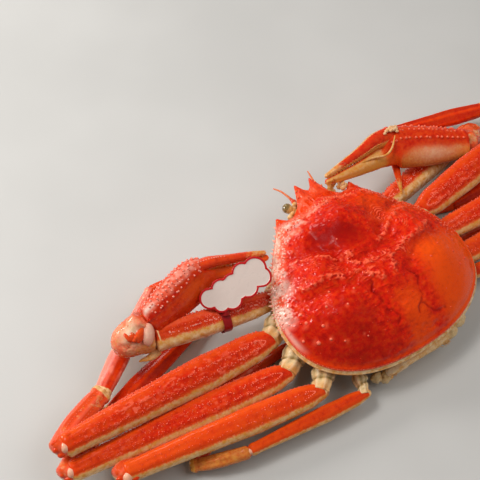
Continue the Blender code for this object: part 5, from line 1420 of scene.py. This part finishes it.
def thorax():
    heap = Heap()
    m = 420
    a = 2 * np.pi * np.arange(m) / m
    rings = []
    steps = []
    lv = np.array(BODY_LEVELS, float)
    for u in np.concatenate([np.linspace(0, 0.2, 6), np.linspace(0.2, 1, 44)[1:]]):
        s = u * (len(lv) - 1)
        row = np.array([np.interp(s, np.arange(len(lv)), lv[:, k]) for k in range(4)])
        z, half, front, rear = row
        tilt = RIM_SLOPE * max(0.0, (z - STERNUM_Z - 1.2) / (22 - STERNUM_Z))
        mid, reach = (front + rear) / 2, (rear - front) / 2
        c, s_ = np.cos(a), np.sin(a)
        x = np.sign(c) * np.abs(c) ** (2 / 2.4) * half
        y = mid + np.sign(s_) * np.abs(s_) ** (2 / 2.4) * reach
        x = x * (1 - 0.30 * np.maximum(0, (mid - y) / reach) ** 1.6)
        rings.append(np.stack([x, y, z + tilt * y], -1))
        steps.append(u)
    P = np.array(rings)
    # the flat under the body, ring by ring to its middle
    flat = [P[0] * [f, f, 1] + np.array([0, 8 * (1 - f), 0]) for f in np.linspace(0.05, 1, 44)[:-1]]
    P = np.concatenate([np.array(flat), P])
    k = len(flat)
    N = grid_normals(P, np.array([0, 5, 16.0]))
    N[:k] = [0, 0, -1]
    x, y = P[..., 0], P[..., 1]
    under = np.zeros(P.shape[:2])
    under[:k] = 1
    seam = 0.0
    for yy in (-16, -2, 12, 25, 36):       # joints between the plates of the breast
        seam = np.maximum(seam, bell(y - yy - 0.12 * np.abs(x), 0.9))
    seam = seam * under * ease(9, 13, np.abs(x))
    ribs = np.sin(np.arctan2(y - 8, x) * 34 + 2 * noise(P, 9, 5)) * (1 - under)
    d = -1.0 * seam + 0.35 * ribs + 0.35 * fbm(P, 5.0, 3, 9) + 0.4 * under * fbm(P, 9, 2, 11)
    d = d - 0.5 * under * ease(13, 9, np.abs(x))
    d[:k] = np.minimum(d[:k], 0.1)
    P = P + N * d[..., None] * 0.8
    tones = tone_array(P.shape[:2], dark=0.6 * seam + 0.4 * ease(0.2, -0.6, ribs) * (1 - under), orange=0.25 + 0.4 * fbm(P, 9, 2, 13) * (1 - under),
                       cream=0.75 * under, pink=0.3 * ease(0.3, 0.9, ribs), fleck=0.4)
    top = P[-1].mean(0)
    close_grid(heap, P, tones, [[0, 8, STERNUM_Z], top])
    rng = np.random.default_rng(31)
    pick = rng.integers(k + 14, len(P) - 6, 260) * m + rng.integers(0, m, 260)
    studs(heap, P.reshape(-1, 3)[pick], N.reshape(-1, 3)[pick], 0.5, 0.8, 0.7, base=tone_array((), orange=0.5), tip=tone_array((), cream=1.0), sides=6)
    for at, radii in (((-25.0, 61.0, 13.5), (7.0, 3.6, 4.0)), ((-35.0, 58.0, 13.5), (5.5, 3.6, 4.0)), ((22.5, 62.6, 10.0), (4.4, 3.6, 4.4)), ((27.0, 60.0, 9.5), (3.8, 3.4, 4.2))):
        blob(heap, at, radii, None, tone_array((), orange=0.25, cream=0.3, dark=0.12, wet=0.6), 1.6, 77 + int(at[0]))
    heap.make("thorax_shell", M_BODY, "shell_cream", "thorax")


FLAP_JOINTS = [(-21.5, 3.6), (-14, 6.2), (-4.5, 8.0), (6, 10.4), (17.5, 13.4), (30, 17.0), (45, 20.5)]


def abdomen():
    """Belly flap in joints: each joint a low plate, rounded at its edges."""
    heap = Heap()
    path = [(-23.9, 3.0, 0, FLAP_TOP), (-21.5, 3.6, 0, FLAP_TOP)]
    stations = []
    for (ya, wa), (yb, wb) in zip(FLAP_JOINTS, FLAP_JOINTS[1:]):
        for f in np.linspace(0, 1, 16, endpoint=False):
            y = ya + (yb - ya) * f
            w = wa + (wb - wa) * f + 0.7 * math.sin(math.pi * f)
            notch = math.exp(-((y - ya) / 0.55) ** 2) + math.exp(-((y - yb) / 0.55) ** 2)
            stations.append((y, 0.0, y, FLAP_TOP, w - 0.6 * notch, 0.55 * notch, notch))
    rear = ((20.8, (50.5, 0.6), (48.0, 5.4)), (20.6, (55.0, 2.2), (51.4, 6.8)),
            (21.6, (60.5, 6.6), (55.8, 10.6)), (21.0, (62.6, 9.4), (57.8, 12.6)),
            (22.4, (65.4, 14.6), (60.6, 16.2)), (22.0, (66.0, 18.2), (61.6, 19.0)))
    keys = np.array([(45.0, 0.0, 45.0, FLAP_TOP, 20.5)] + [(lo[0], lo[1], hi[0], hi[1], w) for w, lo, hi in rear])
    smooth_keys = curve(keys, np.linspace(0, 1, 60))
    for i, row in enumerate(smooth_keys):
        f = i / 59 * 6
        notch = sum(math.exp(-((f - j) / 0.16) ** 2) for j in (0.0, 1.9, 4.0))
        stations.append((row[0], max(row[1], 0), row[2], row[3], row[4] - 0.4 * notch, 0.5 * notch, notch))
    m = 96
    a = 2 * np.pi * (np.arange(m) + 0.5) / m
    cx = np.sign(np.cos(a)) * np.abs(np.cos(a)) ** (2 / 7.0)
    cy = np.sign(np.sin(a)) * np.abs(np.sin(a)) ** (2 / 3.2)
    rings, marks = [], []
    for y0, z0, y1, z1, w, dip, notch in stations:
        low, high = np.array([0, y0, z0]), np.array([0, y1, z1])
        mid, half = (low + high) / 2, (low - high) / 2
        ring = mid + half * cy[:, None] * (1 - 0.16 * dip) + np.array([1.0, 0, 0]) * (cx * w)[:, None]
        rings.append(ring)
        marks.append(notch)
    P = np.array(rings)
    low_face = np.broadcast_to(ease(0.3, 0.8, cy)[None], P.shape[:2])
    notch = np.broadcast_to(np.array(marks)[:, None], P.shape[:2])
    N = grid_normals(P)
    d = 0.12 * fbm(P, 4, 3, 21) - 0.35 * low_face * notch - 0.15 * bell(np.abs(P[..., 0]) - 0.55 * np.abs(P[..., 0]).max(1, keepdims=True), 1.5) * low_face
    behind = ease(58, 62, P[..., 1])
    knuckle = fbm(P * [1, 0.8, 1], 5.5, 2, 29) + 0.5 * noise(P, 2.4, 30)
    P = P + N * np.maximum(np.minimum(d, 0.05), behind * (0.2 + 1.1 * knuckle))[..., None]
    P[..., 2] = np.where((P[..., 2] < 0.18) & (notch < 0.2) & (low_face > 0.5) & (P[..., 1] < 44), 0.0, P[..., 2])
    tones = tone_array(P.shape[:2], dark=0.7 * notch * low_face + 0.45 * behind * ease(0.0, -0.5, knuckle), orange=0.25 + 0.35 * notch + 0.2 * fbm(P, 8, 2, 23),
                       cream=0.35 + 0.2 * fbm(P, 6, 2, 24) + 0.35 * behind, pearl=0.40 * behind * ease(0.1, 0.6, knuckle), fleck=0.3, wet=0.5)
    close_grid(heap, P, tones, [P[0].mean(0) + [0, -0.8, 0], P[-1].mean(0) + [0, 0.3, 1.0]])
    rng = np.random.default_rng(25)
    for s in (1, -1):
        at = np.stack([s * (17 + 4.5 * rng.random(34)), 64.2 + 1.2 * rng.random(34), 10.5 + 7.5 * rng.random(34)], -1)
        lie = np.stack([s * (0.5 + rng.random(34)), 0.9 + 0.4 * rng.random(34), rng.normal(0.1, 0.4, 34)], -1)
        studs(heap, at, lie, 0.28, 2.2, 0.9, base=tone_array((), cream=0.5, ochre=0.6), tip=tone_array((), cream=0.8, ochre=0.5), sides=5)
    heap.make("abdomen_shell", M_BELLY, "shell_pale", "abdomen")


def mouth():
    heap = Heap()
    keys = np.array([(-36.0, 9.5, 12.0, 3.0), (-40.5, 13.0, 14.0, 4.4), (-43.6, 19.0, 14.5, 5.0), (-45.8, 25.5, 13.0, 4.6), (-47.0, 30.4, 10.0, 3.0)])
    rows = curve(keys, np.linspace(0, 1, 60))
    m = 100
    a = 2 * np.pi * (np.arange(m) + 0.5) / m
    rings = []
    for i, (y, z, w, t) in enumerate(rows):
        x = np.cos(a) * w
        d = np.sin(a) * t
        out = np.maximum(np.sin(a), 0)
        d = d - (1.3 * bell(x, 1.1) + 0.45 * bell(np.abs(x) - 6.4, 0.6)) * out - 0.8 * math.exp(-((i - 33) / 1.6) ** 2) * out
        rings.append(np.stack([x, y - d, z - d * 0.35], -1))
    P = np.array(rings)
    N = grid_normals(P)
    P = P + N * (0.2 * fbm(P, 3, 3, 41))[..., None]
    gro = np.maximum(bell(P[..., 0], 1.2), 0.6 * bell(np.abs(P[..., 0]) - 6.4, 0.8))
    close_grid(heap, P, tone_array(P.shape[:2], dark=0.6 * gro, orange=0.4 + 0.3 * fbm(P, 4, 2, 43), pink=0.3), [P[0].mean(0) + [0, 0, -1], P[-1].mean(0) + [0, 0, 1]])
    heap.make("mouthparts_shell", M_BODY, "shell_cream", "mouthparts")


def eyes():
    for side in ("L", "R"):
        s = 1 if side == "L" else -1
        e = np.array(EYES[side], float)
        root = np.array([s * 11.0, -46.8, 33.6])
        ax = unit(e - root)
        heap = Heap()
        K = Limb(dict(points=[root, root * 0.45 + e * 0.55 + [0, -0.6, 0], e - ax * 1.2], face=(0, 0.3, 1),
                      rows=[(0, 4.6, 4.2), (0.55, 3.8, 3.6), (0.8, 5.0, 5.0), (1, 5.9, 5.9)], power=2.0, cap0=0, cap1=0.4), 1.0, 0.3)
        K.push(0.15 * np.sin(K.S * 3.4) + 0.12 * fbm(K.P, 1.6, 2, 50))
        K.close(heap, tone_array(K.T.shape, cream=0.7, ochre=0.8, orange=0.3, dark=0.25 * ease(0.7, 1.0, K.T), fleck=0.3))
        heap.make("eye_stalk_" + side, M_BODY, "eye")
        heap = Heap()
        axes = [unit(np.cross(ax, [0, 0, 1])), unit(np.cross(ax, np.cross(ax, [0, 0, 1]))), ax]

        def tone(P, X):
            return tone_array(P.shape[:2], cream=0.9 * bell(X[..., 2] + 0.35, 0.22))

        blob(heap, e, (EYE_R, EYE_R * 0.94, EYE_R), axes, tone, turns=48, rings=32)
        heap.make("eye_ball_" + side, M_EYE, "eye", "eye_" + side)


def feelers():
    for side in ("L", "R"):
        s = 1 if side == "L" else -1
        F = Limb(dict(points=[(s * 7.5, -50.0, 33.0), (s * 9.0, -56.0, 33.4), (s * 10.2, -62.0, 33.8), (s * 11.6, -69.0, 33.0), (s * 13.5, -75.0, 30.5)],
                      face=(0, 0, 1), rows=[(0, 4.6, 3.4), (0.3, 3.6, 2.8), (0.42, 1.8, 1.6), (1, 0.8, 0.8)], power=2.0, cap0=0, cap1=0.5), s, 0.22)
        ring = np.where(F.T < 0.38, 0.25 * np.sin(F.S * 1.6), 0.07 * np.sin(F.S * 7.0))
        F.push(ring)
        heap = Heap()
        F.close(heap, tone_array(F.T.shape, orange=0.6, cream=0.4 * ease(0.35, 0.5, F.T), pink=0.4, dark=0.3 * ease(0, -0.2, ring)))
        knob = tone_array((), cream=1.0, ochre=0.08, orange=0.3, wet=0.5)
        knobs = [(10.5, -55.0, 34.6), (12.8, -52.2, 35.0), (15.6, -49.6, 35.0), (18.6, -48.0, 35.4)] if side == "L" else \
            [(-12.0, -53.6, 34.6), (-16.0, -50.6, 35.0), (-20.6, -50.4, 37.0), (-22.2, -51.6, 38.8), (-23.8, -48.8, 38.0), (-21.6, -47.8, 38.2), (-22.4, -50.0, 39.4)]
        for i, at in enumerate(knobs):
            blob(heap, at, (2.0, 1.8, 2.0), None, knob, 0.3, 60 + i, 22, 14)
        heap.make("antenna_shell_" + side, M_LIMB, "shell_orange", "antenna_" + side)


# ------------------------------------------------------------------ tag
def tag_outline(steps, inset=0.0):
    turn = 2 * np.pi * np.arange(steps) / steps
    ux, uy = np.cos(turn), np.sin(turn)
    reach = 1 / np.hypot(ux / (TAG_WIDTH / 2 - inset), uy / (TAG_HEIGHT / 2 - inset))
    for x, y, r in TAG_LOBES:
        r = r - inset
        al = ux * x + uy * y
        inside = r * r - x * x - y * y + al * al
        reach = np.where(inside > 0, np.maximum(reach, al + np.sqrt(np.maximum(inside, 0))), reach)
    return np.stack([ux * reach + TAG_MID[0], uy * reach + TAG_MID[1]], -1)


def tag_axes():
    face = unit(TAG_FACE)
    a = np.array(TAG_ALONG, float)
    a = unit(a - face * a.dot(face))
    return a, unit(np.cross(face, a)), face


def tag():
    a, b, face = tag_axes()
    c = np.array(TAG_CENTRE)
    h = TAG_THICK / 2
    m = 360
    # inset of the outline, height over the middle, red
    profile = [(8.5, -h, 0), (3.0, -h, 0), (0.35, -h, 1), (0.1, -h + 0.12, 1), (0.0, -h + 0.35, 1), (0.0, h - 0.30, 1),
               (0.1, h - 0.08, 1), (0.35, h, 1), (1.0, h, 1), (1.15, h - 0.02, 1), (1.25, h - 0.22, 0), (1.5, h - 0.26, 0), (3.0, h - 0.24, 0),
               (5.0, h - 0.22, 0), (7.0, h - 0.2, 0), (8.5, h - 0.2, 0)]
    rings, red = [], []
    for inset, z, r in profile:
        o = tag_outline(m, min(inset, 5.0))
        if inset > 5.0:
            o = np.array(TAG_MID) + (o - np.array(TAG_MID)) * (1 - (inset - 5.0) / 5.0)
        q = c + a * o[:, :1] + b * o[:, 1:] + face * z
        q = q + face * (0.10 * noise(np.stack([o[:, 0], o[:, 1], np.zeros(m)], -1), 9, 3))[:, None]
        rings.append(q)
        red.append(r)
    P = np.array(rings)
    tones = tone_array(P.shape[:2], dark=np.broadcast_to(np.array(red, float)[:, None], P.shape[:2]))
    heap = Heap()
    close_grid(heap, P, tones, [P[0].mean(0), P[-1].mean(0)])
    heap.make("tag_plate", M_TAG, "tag_plate", "tag")


def strap():
    spec = claw_specs("L")[0]["merus"]
    pts = np.array(spec["points"], float)
    t = TAG_STRAP_T
    centre = curve(pts, np.array([t]))[0]
    ax = unit(curve(pts, np.array([t + 0.02]))[0] - curve(pts, np.array([t - 0.02]))[0])
    w, h = table(spec["rows"], np.array([t]))[0]
    face = unit(spec["face"])
    wide = unit(np.cross(ax, face))
    up = unit(np.cross(wide, ax))
    m, power = 160, 2.8
    turn = 2 * np.pi * np.arange(m) / m
    cx = np.sign(np.cos(turn)) * np.abs(np.cos(turn)) ** (2 / power)
    cy = np.sign(np.sin(turn)) * np.abs(np.sin(turn)) ** (2 / power)
    prof = []
    for f in range(24):      # rounded section of the band, with fine edges and a groove down its middle
        q = 2 * np.pi * f / 24
        ox = 2.6 * np.sign(np.cos(q)) * abs(np.cos(q)) ** 0.35
        r = 0.45 + 0.45 * np.sign(np.sin(q)) * abs(np.sin(q)) ** 0.5
        if r > 0.5:
            r -= 0.18 * math.exp(-(ox / 0.9) ** 2)
        prof.append((ox, r))
    rings = []
    for ox, r in prof + prof[:1]:
        x = cx * (w / 2 + GAP + 0.1 + r)
        y = cy * (h / 2 + GAP + 0.1 + r)
        rings.append(centre + ax * ox + wide * x[:, None] + up * y[:, None])
    P = np.array(rings)
    heap = Heap()
    tone = tone_array(())
    quads = grid_faces(len(prof), m)
    last = (len(prof) - 1) * m
    j = np.arange(m)
    k = (j + 1) % m
    quads = np.vstack([quads, np.stack([last + j, last + k, k, j], -1)])
    V = P[:-1].reshape(-1, 3)
    a0, b0, c0 = V[quads[:, 0]], V[quads[:, 1]], V[quads[:, 2]]
    mid = V.mean(0)
    fn = np.cross(b0 - a0, c0 - a0)
    ring_mid = centre + wide * (cx * (w / 2 + GAP + 0.55))[:, None] + up * (cy * (h / 2 + GAP + 0.55))[:, None]
    cen = (a0 + c0) / 2 - ring_mid[quads[:, 0] % m]
    if np.sum(fn * cen) < 0:
        quads = quads[:, ::-1]
    heap.put(V, quads, [], np.broadcast_to(tone, (len(V), len(TONES))))
    # tongue from the band to the back of the plate
    a, b, front = tag_axes()
    back = np.array(TAG_CENTRE) - front * (TAG_THICK / 2)
    end = back + a * TONGUE_AT[0] + b * TONGUE_AT[1]
    start = centre + up * (h / 2 + GAP + 0.3)
    end = end - front * 1.6
    T = Limb(dict(points=[start, start * 0.5 + end * 0.5 + up * 0.3, end], face=unit(np.cross(end - start, wide)),
                  rows=[(0, 5.4, 4.4), (1, 4.4, 1.6)], power=4.0, cap0=0.0, cap1=0.2), 1.0, 0.4)
    T.close(heap, tone_array(T.T.shape))
    heap.make("tag_strap", M_BAND, "tag_strap", "tag_band")


# ------------------------------------------------------------------ build
carapace()
thorax()
abdomen()
mouth()
eyes()
feelers()
for side, k in LEGS:
    leg(side, k)
for side in ("L", "R"):
    claw(side)
tag()
strap()


# ------------------------------------------------------------------ stage
def stage():
    me = bpy.data.meshes.new("floor")
    me.from_pydata([(-3, -3, 0), (3, -3, 0), (3, 3, 0), (-3, 3, 0)], [], [(0, 1, 2, 3)])
    ob = bpy.data.objects.new("floor", me)
    ob.location = (0, 0, -0.0002)
    bpy.context.scene.collection.objects.link(ob)
    n = Nodes("floor_paper")
    col = n.mix(n.ramp(n.noise(6.0, 3.0, 0.5), 0.3, 0.7), srgb(194, 193, 190), srgb(201, 200, 197))
    n.link(col, n.bsdf.inputs["Base Color"])
    n.set(Roughness=0.75)
    me.materials.append(n.m)


def area(name, spot, aim, size, power, colour=(1, 1, 1), shine=True):
    data = bpy.data.lights.new(name, "AREA")
    data.shape = "RECTANGLE"
    data.size, data.size_y = size
    data.energy = power
    data.color = colour
    ob = bpy.data.objects.new(name, data)
    ob.location = spot
    ob.visible_glossy = shine
    ob.rotation_euler = (Vector(aim) - Vector(spot)).to_track_quat("-Z", "Y").to_euler()
    bpy.context.scene.collection.objects.link(ob)


stage()
area("key", (0.66, -0.59, 0.41), (0.0, 0.0, 0.02), (0.24, 0.20), 4.2, (1.0, 0.98, 0.95))
area("main", (0.36, -0.33, 0.93), (0.0, 0.0, 0.02), (0.42, 0.34), 4.2, (1.0, 0.98, 0.96), False)
area("spark", (0.36, -0.33, 0.93), (0.0, 0.0, 0.02), (0.14, 0.12), 1.3, (1.0, 0.98, 0.96))
area("rear", (0.05, -0.95, 0.52), (0.0, 0.0, 0.03), (0.40, 0.16), 1.2, (1.0, 0.98, 0.96))
area("fill", (-0.55, 0.30, 0.95), (0.0, 0.0, 0.02), (0.9, 0.7), 4.6, (1.0, 0.98, 0.96), False)
world = bpy.data.worlds.new("studio")
bpy.context.scene.world = world
world.use_nodes = True
world.node_tree.nodes["Background"].inputs[0].default_value = (1.0, 0.98, 0.95, 1)
world.node_tree.nodes["Background"].inputs[1].default_value = 0.15

cam_data = bpy.data.cameras.new("camera")
cam_data.lens, cam_data.sensor_width = 60.0, 36.0
cam_data.clip_start, cam_data.clip_end = 0.02, 20.0
cam = bpy.data.objects.new("camera", cam_data)
cam.location = (0.19205, 0.17232, 0.45550)
cam.rotation_euler = (Vector((0.04276, -0.06924, 0.0)) - Vector(cam.location)).to_track_quat("-Z", "Y").to_euler()
bpy.context.scene.collection.objects.link(cam)
bpy.context.scene.camera = cam
bpy.context.scene.view_settings.view_transform = "Standard"
